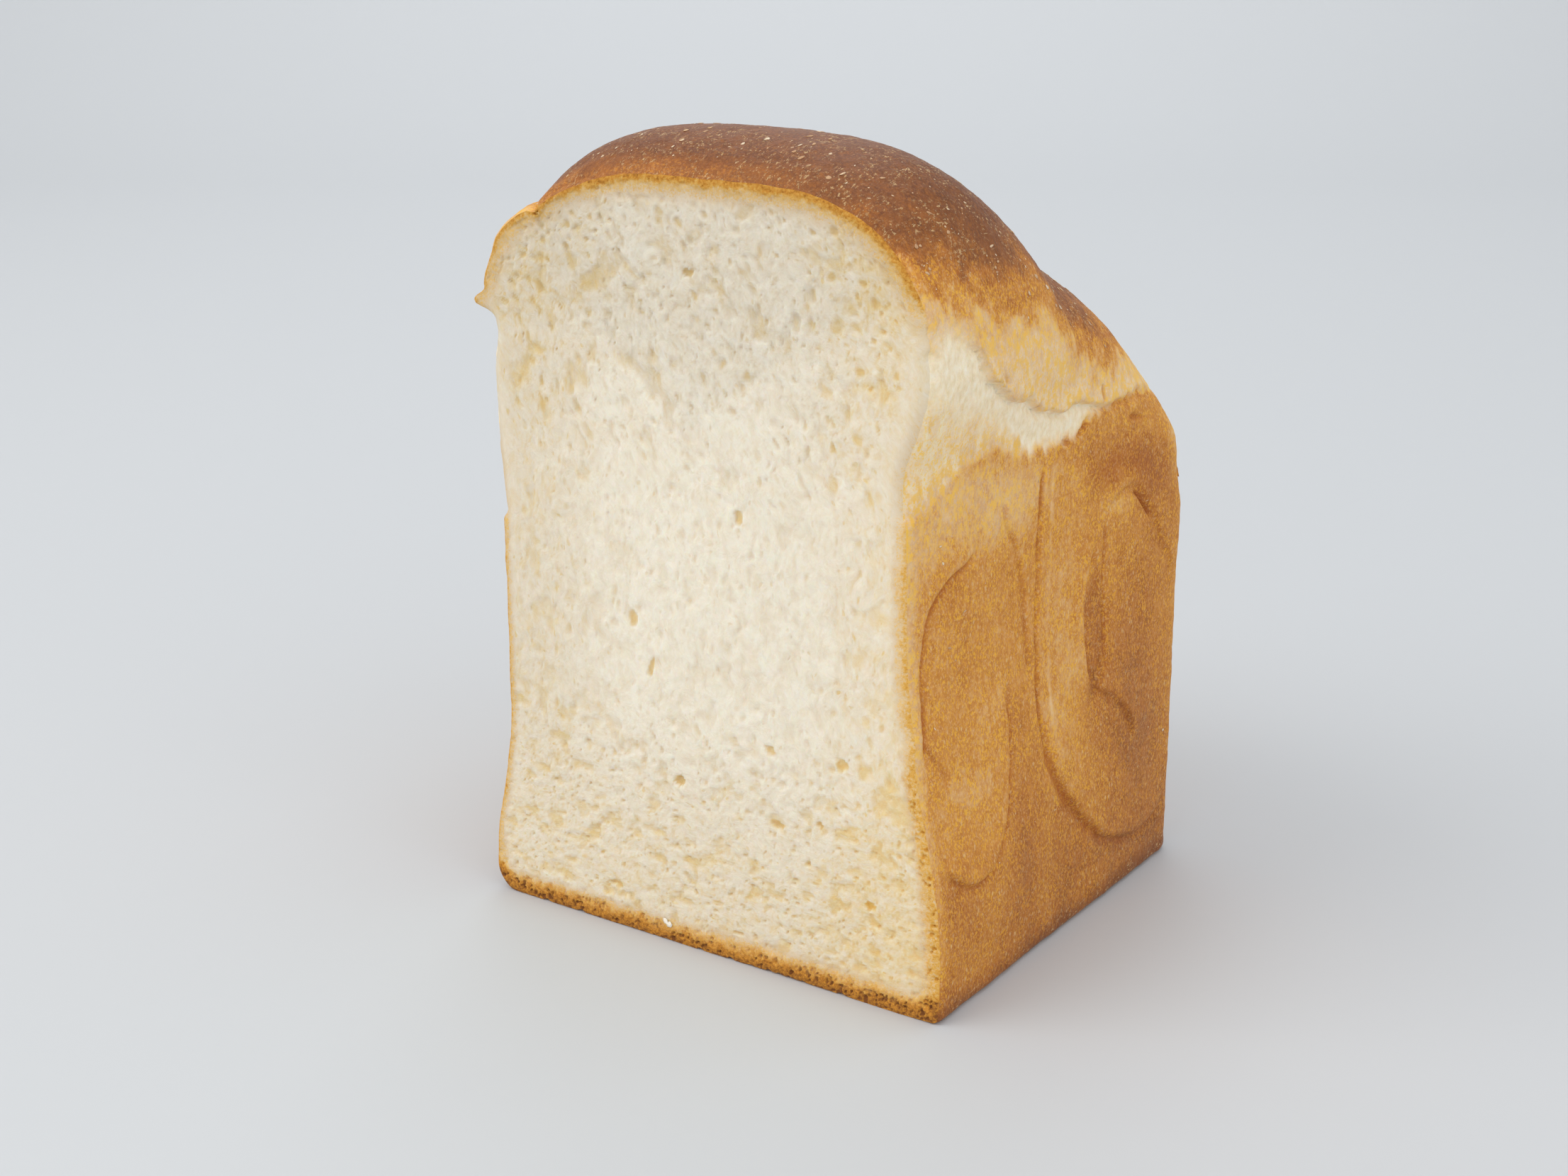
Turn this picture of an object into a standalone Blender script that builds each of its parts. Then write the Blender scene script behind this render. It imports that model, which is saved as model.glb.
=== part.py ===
"""Half of a hand-shaped tin loaf: two domed rolls of bread in one solid, cut across at the front.

Metres, +Z up. X runs across the loaf, Y along it from the cut face at the front to the tin's end wall
at the back. The origin is under the middle of the loaf, on the surface that it stands on.

The solid is a cube's grid of faces carried onto the loaf by one volume map: a box with the tin's rounded
edges, the two domes on top of it, the dents where the walls have sunk in, and the rolls' spiral ends.
"""

import bmesh
import bpy
import numpy as np

# The tin
HALF_WIDTH = 0.060  # at the foot
LENGTH = 0.112  # from the cut to the end wall
END_CORNER = 0.008  # radius of the tin's two upright corners
FOOT_LEFT = 0.006  # radius along the foot of the left wall
FOOT_RIGHT = 0.002  # radius along the foot of the right and end walls

# The rim is where the walls end and the domes start. It falls towards the end wall.
RIM_AT_CUT = 0.131
RIM_AT_END = 0.093
RIM_FALL = 1.65  # power of the fall along the loaf

# The domes: height over the rim, place and reach along the loaf, sideways lean, and squareness across
FRONT_DOME = {"height": 0.0477, "centre": 0.0268, "reach": 0.0416, "lean": 0.0029, "square": 3.3}
BACK_DOME = {"height": 0.0415, "centre": 0.0707, "reach": 0.0405, "lean": -0.0108, "square": 2.2}
DOME_ALONG = 1.9  # roundness of a dome along the loaf
DOME_CROWN = 2.46  # fullness of a dome's shoulders
VALLEY_SOFTNESS = 0.002  # height over which one dome turns into the other

# The sunken walls: how deep, from and to which height the dent deepens, and how far it comes back
RIGHT_DENT = {"depth": 0.0098, "low": 0.012, "high": 0.080, "back": 0.55, "back_low": 0.112, "back_high": 0.134}
LEFT_DENT = {"depth": 0.0059, "low": 0.005, "high": 0.045, "back": 0.48, "back_low": 0.085, "back_high": 0.120}
DENT_FADE = 0.92  # power with which the dents fade towards the end wall

# The crust's lip over the left wall, where the dome once hung over the tin
LIP_OUT = 0.0030
LIP_HEIGHT = 0.140
LIP_SPREAD = 0.0070
LIP_REACH = 0.050

# The ends of the two rolls on both walls: spiral creases inside an upright oval, and the seam between them
SWIRLS = (
    {"y": 0.019, "z": 0.061, "half_length": 0.0165, "half_height": 0.038, "pitch": 0.62},
    {"y": 0.081, "z": 0.057, "half_length": 0.0260, "half_height": 0.045, "pitch": 0.48},
)
CREASE_DEPTH = 0.0009
CREASE_WIDTH = 0.12  # as a share of the oval's radius, like the next two lines
CREASE_STARTS = (0.15, 0.35)  # the crease fades in between these two on the way out from the oval's middle
CREASE_ENDS = (1.05, 1.35)  # and out between these two
SEAM_Y = 0.0485
SEAM_WIDTH = 0.0040
SEAM_DEPTH = 0.0012
SEAM_STARTS = (0.012, 0.035)  # heights between which the seam fades in
ON_THE_WALL = 12  # power of the way out from the middle with which the creases fade off the walls

SEGMENTS = 27  # faces along each edge of the cube
EVEN_SPACING = 0.5  # share of even spacing along the loaf; the rest crowds towards the end wall

CRUST_COLOUR = (0.57, 0.27, 0.065, 1.0)
CRUMB_COLOUR = (0.78, 0.70, 0.53, 1.0)
CRUST_ROUGHNESS = 0.5
CRUMB_ROUGHNESS = 0.9
SHARP_ANGLE = 0.7


def smooth_step(value, low, high):
    """0 below low, 1 above high, and a smooth rise between."""
    share = np.clip((value - low) / (high - low), 0.0, 1.0)
    return share * share * (3.0 - 2.0 * share)


def smooth_larger(first, second, softness):
    """The larger of two heights, rounded where they cross."""
    share = np.clip(0.5 + 0.5 * (first - second) / softness, 0.0, 1.0)
    return second + (first - second) * share + softness * share * (1.0 - share)


def square_to_round(first, second):
    """How much to shrink two edge distances, 0 to 1 each, so that a square corner becomes a round one."""
    length = np.hypot(first, second)
    return np.where(length > 0.0, np.maximum(first, second) / np.maximum(length, 1e-9), 1.0)


def round_upright_corners(x, y):
    """Rounds the tin's two upright corners at the end wall. The cut face keeps its corners."""
    over_x = np.maximum(np.abs(x) - (HALF_WIDTH - END_CORNER), 0.0) / END_CORNER
    over_y = np.maximum(y - (LENGTH - END_CORNER), 0.0) / END_CORNER
    shrink = square_to_round(over_x, over_y)
    rounded_x = np.minimum(np.abs(x), HALF_WIDTH - END_CORNER) + over_x * shrink * END_CORNER
    rounded_y = np.minimum(y, LENGTH - END_CORNER) + over_y * shrink * END_CORNER
    return np.sign(x) * rounded_x, rounded_y, over_x, over_y


def round_foot(x, y, z, box_x, box_y, over_x, over_y):
    """Rounds the edge between the walls and the base, and pulls the wall's foot inwards with it."""
    radius = FOOT_LEFT + (FOOT_RIGHT - FOOT_LEFT) * smooth_step(box_x, -HALF_WIDTH / 2.0, HALF_WIDTH / 2.0)
    near_side = np.clip((np.abs(box_x) - (HALF_WIDTH - radius)) / radius, 0.0, 1.0)
    near_end = np.clip((box_y - (LENGTH - radius)) / radius, 0.0, 1.0)
    outwards = np.maximum(near_side, near_end)
    downwards = np.maximum(radius - z, 0.0) / radius
    shrink = square_to_round(outwards, downwards)
    in_corner = (over_x > 0.0) & (over_y > 0.0)
    corner = np.maximum(np.hypot(over_x, over_y), 1e-9)
    side_share = np.where(in_corner, over_x / corner, near_side >= near_end)
    end_share = np.where(in_corner, over_y / corner, near_side < near_end)
    pull = np.where(downwards > 0.0, radius * outwards * (1.0 - shrink), 0.0)
    return (
        x - np.sign(x) * pull * side_share,
        y - pull * end_share,
        np.where(downwards > 0.0, radius - downwards * shrink * radius, z),
    )


def dome_height(x, y, dome):
    """Height of one dome over the rim: a squarish arch across, a rounder one along."""
    lean = dome["lean"]
    across = np.where(x > lean, (x - lean) / (HALF_WIDTH - lean), (lean - x) / (HALF_WIDTH + lean))
    across = np.clip(across, 0.0, 1.0) ** dome["square"]
    along = np.minimum(np.abs((y - dome["centre"]) / dome["reach"]) ** DOME_ALONG, 1.0)
    return dome["height"] * ((1.0 - across) * (1.0 - along)) ** (1.0 / DOME_CROWN)


def wall_dent(z, dent):
    """Depth of a wall's dent at height z."""
    deepening = smooth_step(z, dent["low"], dent["high"])
    coming_back = 1.0 - dent["back"] * smooth_step(z, dent["back_low"], dent["back_high"])
    return dent["depth"] * deepening * coming_back


def lip(x, y, z):
    """How far the crust's lip stands out of the left wall."""
    height = np.exp(-(((z - LIP_HEIGHT) / LIP_SPREAD) ** 2))
    along = 1.0 - smooth_step(y, 0.0, LIP_REACH)
    return np.where(x < 0.0, LIP_OUT * height * along, 0.0)


def swirl_crease(y, z, swirl):
    """Depth of one spiral crease. Its radius falls by one pitch in a turn, and it fades at the middle."""
    across = (y - swirl["y"]) / swirl["half_length"]
    upwards = (z - swirl["z"]) / swirl["half_height"]
    radius = np.hypot(across, upwards)
    turn = np.arctan2(upwards, -across) / (2.0 * np.pi)
    arm = (1.0 - radius) / swirl["pitch"] - turn
    distance = np.abs(arm - np.round(arm)) * swirl["pitch"]
    inside = smooth_step(radius, *CREASE_STARTS) * (1.0 - smooth_step(radius, *CREASE_ENDS))
    return CREASE_DEPTH * np.exp(-((distance / CREASE_WIDTH) ** 2)) * inside


def roll_ends(y, z):
    """Depth of both spirals and of the seam between the rolls. The seam starts above the foot."""
    creases = sum(swirl_crease(y, z, swirl) for swirl in SWIRLS)
    seam = np.exp(-(((y - SEAM_Y) / SEAM_WIDTH) ** 2)) * smooth_step(z, *SEAM_STARTS)
    return creases + SEAM_DEPTH * seam


def loaf_point(a, b, c):
    """Carries points of the cube, -1 to 1 along each axis, onto the loaf."""
    along = (b + 1.0) / 2.0
    up = (c + 1.0) / 2.0
    box_x = np.sin(a * np.pi / 2.0) * HALF_WIDTH
    box_y = (EVEN_SPACING * along + (1.0 - EVEN_SPACING) * np.sin(along * np.pi / 2.0)) * LENGTH
    rim = RIM_AT_CUT + (RIM_AT_END - RIM_AT_CUT) * (box_y / LENGTH) ** RIM_FALL
    z = up * rim

    x, y, over_x, over_y = round_upright_corners(box_x, box_y)
    x, y, z = round_foot(x, y, z, box_x, box_y, over_x, over_y)

    front = dome_height(box_x, box_y, FRONT_DOME)
    back = dome_height(box_x, box_y, BACK_DOME)
    z = z + up * smooth_larger(front, back, VALLEY_SOFTNESS)

    fade = 1.0 - np.clip(y / LENGTH, 0.0, 1.0) ** DENT_FADE
    dent = np.where(x > 0.0, wall_dent(z, RIGHT_DENT), wall_dent(z, LEFT_DENT)) * fade
    outwards = np.clip(np.abs(x) / HALF_WIDTH, 0.0, 1.0)
    x = x - np.sign(x) * (outwards * (dent - lip(x, y, z)) + outwards**ON_THE_WALL * roll_ends(y, z))
    return x, y - LENGTH / 2.0, z


def surface_material(name, colour, roughness):
    """A plain Principled surface."""
    material = bpy.data.materials.new(name)
    material.use_nodes = True
    shader = material.node_tree.nodes["Principled BSDF"]
    shader.inputs["Base Color"].default_value = colour
    shader.inputs["Roughness"].default_value = roughness
    shader.inputs["Metallic"].default_value = 0.0
    return material


def build_loaf(collection):
    """One closed solid: the cube's grid carried onto the loaf, with crumb on the cut face and crust elsewhere."""
    grid = bmesh.new()
    bmesh.ops.create_cube(grid, size=2.0)
    bmesh.ops.subdivide_edges(grid, edges=grid.edges[:], cuts=SEGMENTS - 1, use_grid_fill=True)
    for face in grid.faces:
        face.material_index = int(face.calc_center_median().y < -0.999)
        face.smooth = True
    mesh = bpy.data.meshes.new("loaf")
    grid.to_mesh(mesh)
    grid.free()

    cube = np.empty(len(mesh.vertices) * 3)
    mesh.vertices.foreach_get("co", cube)
    cube = cube.reshape(-1, 3)
    mesh.vertices.foreach_set("co", np.stack(loaf_point(*cube.T), axis=1).ravel())
    mesh.materials.append(surface_material("crust", CRUST_COLOUR, CRUST_ROUGHNESS))
    mesh.materials.append(surface_material("crumb", CRUMB_COLOUR, CRUMB_ROUGHNESS))
    mesh.set_sharp_from_angle(angle=SHARP_ANGLE)
    mesh.update()

    loaf = bpy.data.objects.new("loaf", mesh)
    collection.objects.link(loaf)
    return loaf


def main():
    for item in list(bpy.data.objects):
        bpy.data.objects.remove(item)
    collection = bpy.data.collections.new("tin_loaf")
    bpy.context.scene.collection.children.link(collection)
    build_loaf(collection)


main()
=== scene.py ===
"""The looks of half a tin loaf: soft white crumb on the cut face, and baked crust on every other side.

The loaf's surface is worked out in millimetres, with X across, Y from the cut face to the end wall and Z up
from the surface that it stands on. It is laid out as the six sides of a box, on one lattice, so that
neighbouring sides share the points of the edge between them. The box is bent into the loaf's form, relief is
added along the surface's normal, and each side becomes one piece.
"""

import logging
from dataclasses import dataclass, field
from enum import Enum
from functools import cached_property

import bpy
import numpy as np
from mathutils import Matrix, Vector

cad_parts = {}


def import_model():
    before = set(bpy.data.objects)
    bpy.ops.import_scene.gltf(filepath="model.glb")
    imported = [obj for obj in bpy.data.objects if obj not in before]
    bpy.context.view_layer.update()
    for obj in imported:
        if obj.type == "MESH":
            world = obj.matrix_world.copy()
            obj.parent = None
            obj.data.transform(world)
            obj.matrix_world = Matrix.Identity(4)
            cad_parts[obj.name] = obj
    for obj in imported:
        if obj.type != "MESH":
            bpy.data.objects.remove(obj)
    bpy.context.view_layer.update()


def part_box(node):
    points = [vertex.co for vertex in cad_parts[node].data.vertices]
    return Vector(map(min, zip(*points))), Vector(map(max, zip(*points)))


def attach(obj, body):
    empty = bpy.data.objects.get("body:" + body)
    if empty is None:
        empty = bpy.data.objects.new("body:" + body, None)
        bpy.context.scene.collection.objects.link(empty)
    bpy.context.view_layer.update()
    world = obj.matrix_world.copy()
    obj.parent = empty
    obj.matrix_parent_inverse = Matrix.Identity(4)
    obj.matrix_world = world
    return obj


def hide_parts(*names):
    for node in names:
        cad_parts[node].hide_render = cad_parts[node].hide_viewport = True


LOG = logging.getLogger("tin_loaf")
MM = 0.001
Array = np.ndarray
Socket = bpy.types.NodeSocket
Colour = tuple[float, float, float, float]  # linear red, green, blue and alpha
Stops = tuple[tuple[float, tuple[int, int, int]], ...]  # places on a colour ramp, and display colours
Line = tuple[tuple[float, float], ...]  # places on a wall as (Y, Z), or heights and their values


# ---- Number tools ----


def smooth_step(value: Array, low: float, high: float) -> Array:
    """A smooth rise: 3 t squared minus 2 t cubed, where t is the share of the way from low to high.

    Args:
        value: what is compared with the limits.
        low: where the rise starts, at 0.
        high: where the rise ends, at 1. It may be under low, for a fall.

    Returns:
        The rise, from 0 to 1.
    """
    share = np.clip((value - low) / (high - low), 0.0, 1.0)
    return share * share * (3.0 - 2.0 * share)


def bell(value: Array, width: float) -> Array:
    """A bell curve, 1 at value 0 and 1/e at the given width: e to minus (value / width) squared."""
    return np.exp(-((value / width) ** 2))


def mix(first: Array, second: Array, share: Array) -> Array:
    """Goes from the first value to the second as share goes from 0 to 1."""
    return first + (second - first) * share


def smooth_larger(first: Array, second: Array, softness: float) -> Array:
    """The larger of two heights, rounded off where they cross over that softness."""
    share = np.clip(0.5 + 0.5 * (first - second) / softness, 0.0, 1.0)
    return mix(second, first, share) + softness * share * (1.0 - share)


@dataclass(frozen=True)
class Chance:
    """Repeatable random fields over space, each fixed by its seed."""

    seed: int

    def pick(self, cells: list[Array], channel: int = 0) -> Array:
        """One random number for each lattice cell, by multiplying and folding the bits of its indices.

        Args:
            cells: the cell's whole-number indices, one array for each axis.
            channel: tells apart several numbers drawn for one cell.

        Returns:
            Numbers from 0 to 1.
        """
        bits = np.full(cells[0].shape, (self.seed * 7919 + channel * 104729 + 12345) % 2**32, np.uint32)
        for index in cells:
            bits = (bits ^ index.astype(np.int64).astype(np.uint32)) * np.uint32(2654435761)
            bits ^= bits >> np.uint32(15)
        bits = bits * np.uint32(2246822519)
        bits ^= bits >> np.uint32(13)
        return bits.astype(np.float64) / 4294967295.0

    def smooth(self, axes: list[Array], size: float | list[float], octaves: int = 1) -> Array:
        """Smooth noise: random values at the corners of a lattice, blended across each cell.

        Args:
            axes: the points' coordinates, one array for each axis.
            size: the lattice's spacing, the same for all axes or one for each.
            octaves: how many copies are added, each half the size and half the strength of the last.

        Returns:
            The noise, about -1 to 1.
        """
        sizes = size if isinstance(size, list) else [size] * len(axes)
        total = np.zeros(np.broadcast(*axes).shape)
        strength = 1.0
        reach = 0.0
        for octave in range(octaves):
            total += strength * self._one_octave(axes, [s / 2.0**octave for s in sizes], octave)
            reach += strength
            strength *= 0.5
        return total / reach

    def _one_octave(self, axes: list[Array], sizes: list[float], octave: int) -> Array:
        """One octave of smooth noise, from -1 to 1.

        Args:
            axes: the points' coordinates.
            sizes: the lattice's spacing for each axis.
            octave: its number, which moves the lattice.

        Returns:
            The noise.
        """
        scaled = [axis / size + 17.3 * octave for axis, size in zip(axes, sizes)]
        whole = [np.floor(axis) for axis in scaled]
        share = [axis - low for axis, low in zip(scaled, whole)]
        share = [s * s * s * (s * (s * 6.0 - 15.0) + 10.0) for s in share]
        total = np.zeros(np.broadcast(*axes).shape)
        for corner in range(2 ** len(axes)):
            offsets = [(corner >> axis) & 1 for axis in range(len(axes))]
            weight = np.ones_like(total)
            for offset, part in zip(offsets, share):
                weight = weight * (part if offset else 1.0 - part)
            total += weight * self.pick([low + offset for low, offset in zip(whole, offsets)], octave)
        return 2.0 * total - 1.0

    def spots(self, first: Array, second: Array, smallest: float, largest: float) -> Array:
        """Round spots of many sizes, one in each unit square.

        Args:
            first: the points' first coordinate, in squares.
            second: the points' second coordinate, in squares.
            smallest: the smallest spot's radius. It may be below 0, so that some squares have none.
            largest: the largest spot's radius, which few spots come near.

        Returns:
            1 at a spot's middle, falling evenly to 0 at its edge.
        """
        low_first = np.floor(first)
        low_second = np.floor(second)
        share = np.zeros(first.shape)
        for step_first in (-1, 0, 1):
            for step_second in (-1, 0, 1):
                cell = [low_first + step_first, low_second + step_second]
                centre_first = cell[0] + 0.15 + 0.7 * self.pick(cell, 1)
                centre_second = cell[1] + 0.15 + 0.7 * self.pick(cell, 2)
                radius = np.maximum(smallest + (largest - smallest) * self.pick(cell, 3) ** 2, 1e-6)
                distance = np.hypot(first - centre_first, second - centre_second)
                share = np.maximum(share, 1.0 - distance / radius)
        return share


def curve_through(points: Line, steps: int = 8) -> Array:
    """A smooth curve through points: each stretch is a cubic whose slopes join its neighbours' points.

    Args:
        points: the points that the curve goes through, in order.
        steps: straight pieces for each stretch.

    Returns:
        The curve's points, one row each.
    """
    knots = np.array(points, float)
    padded = np.vstack([2 * knots[0] - knots[1], knots, 2 * knots[-1] - knots[-2]])
    before, start, end, after = padded[:-3, None], padded[1:-2, None], padded[2:-1, None], padded[3:, None]
    t = np.linspace(0.0, 1.0, steps, endpoint=False)[None, :, None]
    cubic = (3.0 * start - before - 3.0 * end + after) * t**3
    square = (2.0 * before - 5.0 * start + 4.0 * end - after) * t**2
    curve = 0.5 * (2.0 * start + (end - before) * t + square + cubic)
    return np.vstack([curve.reshape(-1, 2), knots[-1]])


def beside_curve(curve: Array, first: Array, second: Array) -> tuple[Array, Array, Array]:
    """Where points lie beside a curve.

    Args:
        curve: the curve's points, one row each.
        first: the points' first coordinate.
        second: the points' second coordinate.

    Returns:
        The distance to the curve, the same with a sign that is positive on the left of the curve's way, and
        the share of the curve's pieces passed, from 0 to 1.
    """
    shape = first.shape
    points = np.stack([first.ravel(), second.ravel()], axis=1)
    best = np.full(len(points), 1e9)
    signed = np.full(len(points), 1e9)
    share = np.zeros(len(points))
    pieces = len(curve) - 1
    for piece in range(pieces):
        start, way = curve[piece], curve[piece + 1] - curve[piece]
        along = np.clip((points - start) @ way / (way @ way), 0.0, 1.0)
        off = points - start - along[:, None] * way
        distance = np.hypot(off[:, 0], off[:, 1])
        closer = distance < best
        left = np.where(way[0] * off[:, 1] - way[1] * off[:, 0] >= 0.0, distance, -distance)
        signed = np.where(closer, left, signed)
        share = np.where(closer, (piece + along) / pieces, share)
        best = np.where(closer, distance, best)
    return best.reshape(shape), signed.reshape(shape), share.reshape(shape)


# ---- The loaf's form ----


class Side(Enum):
    """The six sides of the box that the loaf is bent from."""

    CUT = "crumb_face"
    RIGHT = "right_wall"
    LEFT = "left_wall"
    END = "end_wall"
    CROWN = "crown"
    FOOT = "foot"


@dataclass(frozen=True)
class Lattice:
    """How many rows of faces the box has along each edge."""

    across: int = 250
    along: int = 220
    up: int = 330

    def indices(self, side: Side) -> tuple[Array, Array, Array]:
        """The lattice indices of a side's points, as grids whose rows and columns turn the faces outwards.

        Args:
            side: the side of the box.

        Returns:
            Index grids across, along and up.
        """
        across, along, up = (np.arange(rows + 1) for rows in (self.across, self.along, self.up))
        if side in (Side.LEFT, Side.FOOT):
            along = along[::-1]
        if side is Side.END:
            across = across[::-1]
        if side in (Side.RIGHT, Side.LEFT):
            along_grid, up_grid = np.meshgrid(along, up, indexing="ij")
            across_grid = np.full_like(along_grid, self.across if side is Side.RIGHT else 0)
        elif side in (Side.CUT, Side.END):
            across_grid, up_grid = np.meshgrid(across, up, indexing="ij")
            along_grid = np.full_like(across_grid, self.along if side is Side.END else 0)
        else:
            across_grid, along_grid = np.meshgrid(across, along, indexing="ij")
            up_grid = np.full_like(across_grid, self.up if side is Side.CROWN else 0)
        return across_grid, along_grid, up_grid

    def keys(self, side: Side) -> Array:
        """One whole number for each point of a side, the same on each side that shares the point."""
        across, along, up = self.indices(side)
        return (across * (self.along + 1) + along) * (self.up + 1) + up

    def shares(self, side: Side) -> tuple[Array, Array, Array]:
        """Places of a side's points: -1 to 1 across, 0 to 1 along and 0 to 1 up."""
        across, along, up = self.indices(side)
        return 2.0 * across / self.across - 1.0, along / self.along, up / self.up


@dataclass(frozen=True)
class Dome:
    """One roll's dome over the rim: a squarish arch across and a rounder one along."""

    height: float
    centre: float
    reach: float
    lean: float
    square: float
    roundness: float = 1.9
    fullness: float = 2.46

    def over_rim(self, x: Array, y: Array, half_width: float) -> Array:
        """Height over the rim: (1 - across^square) times (1 - along^roundness), to the power 1/fullness.

        Args:
            x: the points' X.
            y: the points' Y.
            half_width: half the tin's width.

        Returns:
            The height.
        """
        right = (x - self.lean) / (half_width - self.lean)
        left = (self.lean - x) / (half_width + self.lean)
        across = np.clip(np.maximum(right, left), 0.0, 1.0) ** self.square
        along = np.minimum(np.abs((y - self.centre) / self.reach) ** self.roundness, 1.0)
        return self.height * ((1.0 - across) * (1.0 - along)) ** (1.0 / self.fullness)


@dataclass(frozen=True)
class Dent:
    """How a wall has sunk in: deepening with height, and coming back part of the way near the rim."""

    depth: float
    low: float
    high: float
    comes_back: float
    back_low: float
    back_high: float

    def at(self, z: Array) -> Array:
        """Depth of the dent at a height."""
        deepening = self.depth * smooth_step(z, self.low, self.high)
        return deepening * (1.0 - self.comes_back * smooth_step(z, self.back_low, self.back_high))


@dataclass(frozen=True)
class LoafForm:
    """The half loaf's form without its relief. The tin gives the walls, and the rolls give the domes."""

    half_width: float
    length: float
    height: float
    end_corner: float = 8.0
    foot_left: float = 6.0
    foot_right: float = 2.0
    rim_at_cut: float = 131.0
    rim_at_end: float = 93.0
    rim_fall: float = 1.65
    valley_softness: float = 0.9
    dent_fade: float = 0.92
    wall_share: float = 0.78  # share of the rows up that is wall; the rest is the dome's flank
    flank_in: float = 0.17  # how far the flank leans in, as a share of the half width
    end_in: float = 6.5  # how far the flank leans in at the end wall
    right_dent: Dent = Dent(depth=9.8, low=12.0, high=80.0, comes_back=0.55, back_low=112.0, back_high=134.0)
    left_dent: Dent = Dent(depth=5.9, low=5.0, high=45.0, comes_back=0.48, back_low=85.0, back_high=120.0)

    @classmethod
    def from_box(cls, low: Vector, high: Vector) -> "LoafForm":
        """The form that fills a CAD node's box.

        Args:
            low: the box's lowest corner, in metres.
            high: the box's highest corner, in metres.

        Returns:
            The form, in millimetres.
        """
        size = (high - low) / MM
        return cls(half_width=size.x / 2.0, length=size.y, height=size.z)

    @property
    def domes(self) -> tuple[Dome, Dome]:
        """The front roll's dome, which reaches the loaf's full height, and the back roll's."""
        centre = 0.24 * self.length
        height = float(self.height - self.rim(np.array(centre))) + 0.2
        front = Dome(height, centre, reach=41.6, lean=2.9, square=3.3)
        back = Dome(height=41.5, centre=0.631 * self.length, reach=40.5, lean=-10.8, square=2.2)
        return front, back

    def rim(self, y: Array) -> Array:
        """Height of the rim, which falls towards the end wall as a power of the way along."""
        fallen = np.clip(y / self.length, 0.0, 1.0) ** self.rim_fall
        return mix(self.rim_at_cut, self.rim_at_end, fallen)

    def top(self, x: Array, y: Array) -> Array:
        """Height of the domes' surface: the rim plus the larger of the two domes."""
        heights = (dome.over_rim(x, y, self.half_width) for dome in self.domes)
        return self.rim(y) + smooth_larger(*heights, self.valley_softness)

    def points(self, side: Side, across: Array, along: Array, up: Array) -> Array:
        """Places a side's points on the loaf.

        On the walls the lower share of the rows climbs to the rim. The rest climbs the dome's flank, leaning
        in by the square of the way up it, until it meets the crown. Rows on the cut face are spread between
        the foot and the crown so that they meet the walls' rows at both ends.

        Args:
            side: the side of the box.
            across: -1 to 1, from the left wall to the right.
            along: 0 to 1, from the cut to the end wall.
            up: 0 to 1, from the foot to the crown.

        Returns:
            The points, with X, Y and Z in the last axis.
        """
        flank = np.clip((up - self.wall_share) / (1.0 - self.wall_share), 0.0, 1.0) ** 2
        box_x = across * self.half_width
        box_y = along * self.length
        x = box_x * (1.0 - self.flank_in * flank)
        y = box_y - self.end_in * flank * smooth_step(along, 0.55, 1.0)
        if side is Side.FOOT:
            z = np.zeros_like(x)
        elif side is Side.CUT:
            z = self._cut_height(across, up, y)
        else:
            z = self._wall_height(x, y, up)
        x, y, z = self._rounded(x, y, z, box_x, box_y)
        x = self._dented(x, y, z)
        return np.stack([x, y, z], axis=-1)

    def _wall_height(self, x: Array, y: Array, up: Array) -> Array:
        """Height on a wall: even up to the rim, and the domes' own height above it."""
        climb = np.minimum(up / self.wall_share, 1.0)
        return np.where(up < self.wall_share, climb * self.rim(y), self.top(x, y))

    def _cut_height(self, across: Array, up: Array, y: Array) -> Array:
        """Height on the cut face: even rows in each column, plus what the walls' rows differ from even.

        Args:
            across: -1 to 1, from the left wall to the right.
            up: 0 to 1, from the foot to the crown.
            y: the points' Y.

        Returns:
            The height.
        """
        flank = np.clip((up - self.wall_share) / (1.0 - self.wall_share), 0.0, 1.0) ** 2
        total = up * self.top(across * self.half_width * (1.0 - self.flank_in), y)
        for edge in (-1.0, 1.0):
            wall = self._wall_height(edge * self.half_width * (1.0 - self.flank_in * flank), y, up)
            even = up * self.top(np.full_like(up, edge * self.half_width * (1.0 - self.flank_in)), y)
            total = total + 0.5 * (1.0 + edge * across) * (wall - even)
        return total

    def _rounded(
        self, x: Array, y: Array, z: Array, box_x: Array, box_y: Array
    ) -> tuple[Array, Array, Array]:
        """Rounds the two upright corners at the end wall, and the edge between the walls and the foot.

        Both shrink the share by which a point is over the start of a round, from the largest of its two
        parts to their length, so that a square corner becomes a quarter circle.

        Args:
            x: the points' X.
            y: the points' Y.
            z: the points' Z.
            box_x: X on the box before the flanks lean in.
            box_y: Y on the box before the flanks lean in.

        Returns:
            The moved X, Y and Z.
        """
        corner = self.end_corner
        over_x = np.maximum(np.abs(box_x) - (self.half_width - corner), 0.0) / corner
        over_y = np.maximum(box_y - (self.length - corner), 0.0) / corner
        spare = 1.0 - self._square_to_round(over_x, over_y)
        side_way = np.sign(box_x)
        x = x - side_way * over_x * spare * corner
        y = y - over_y * spare * corner

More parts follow.
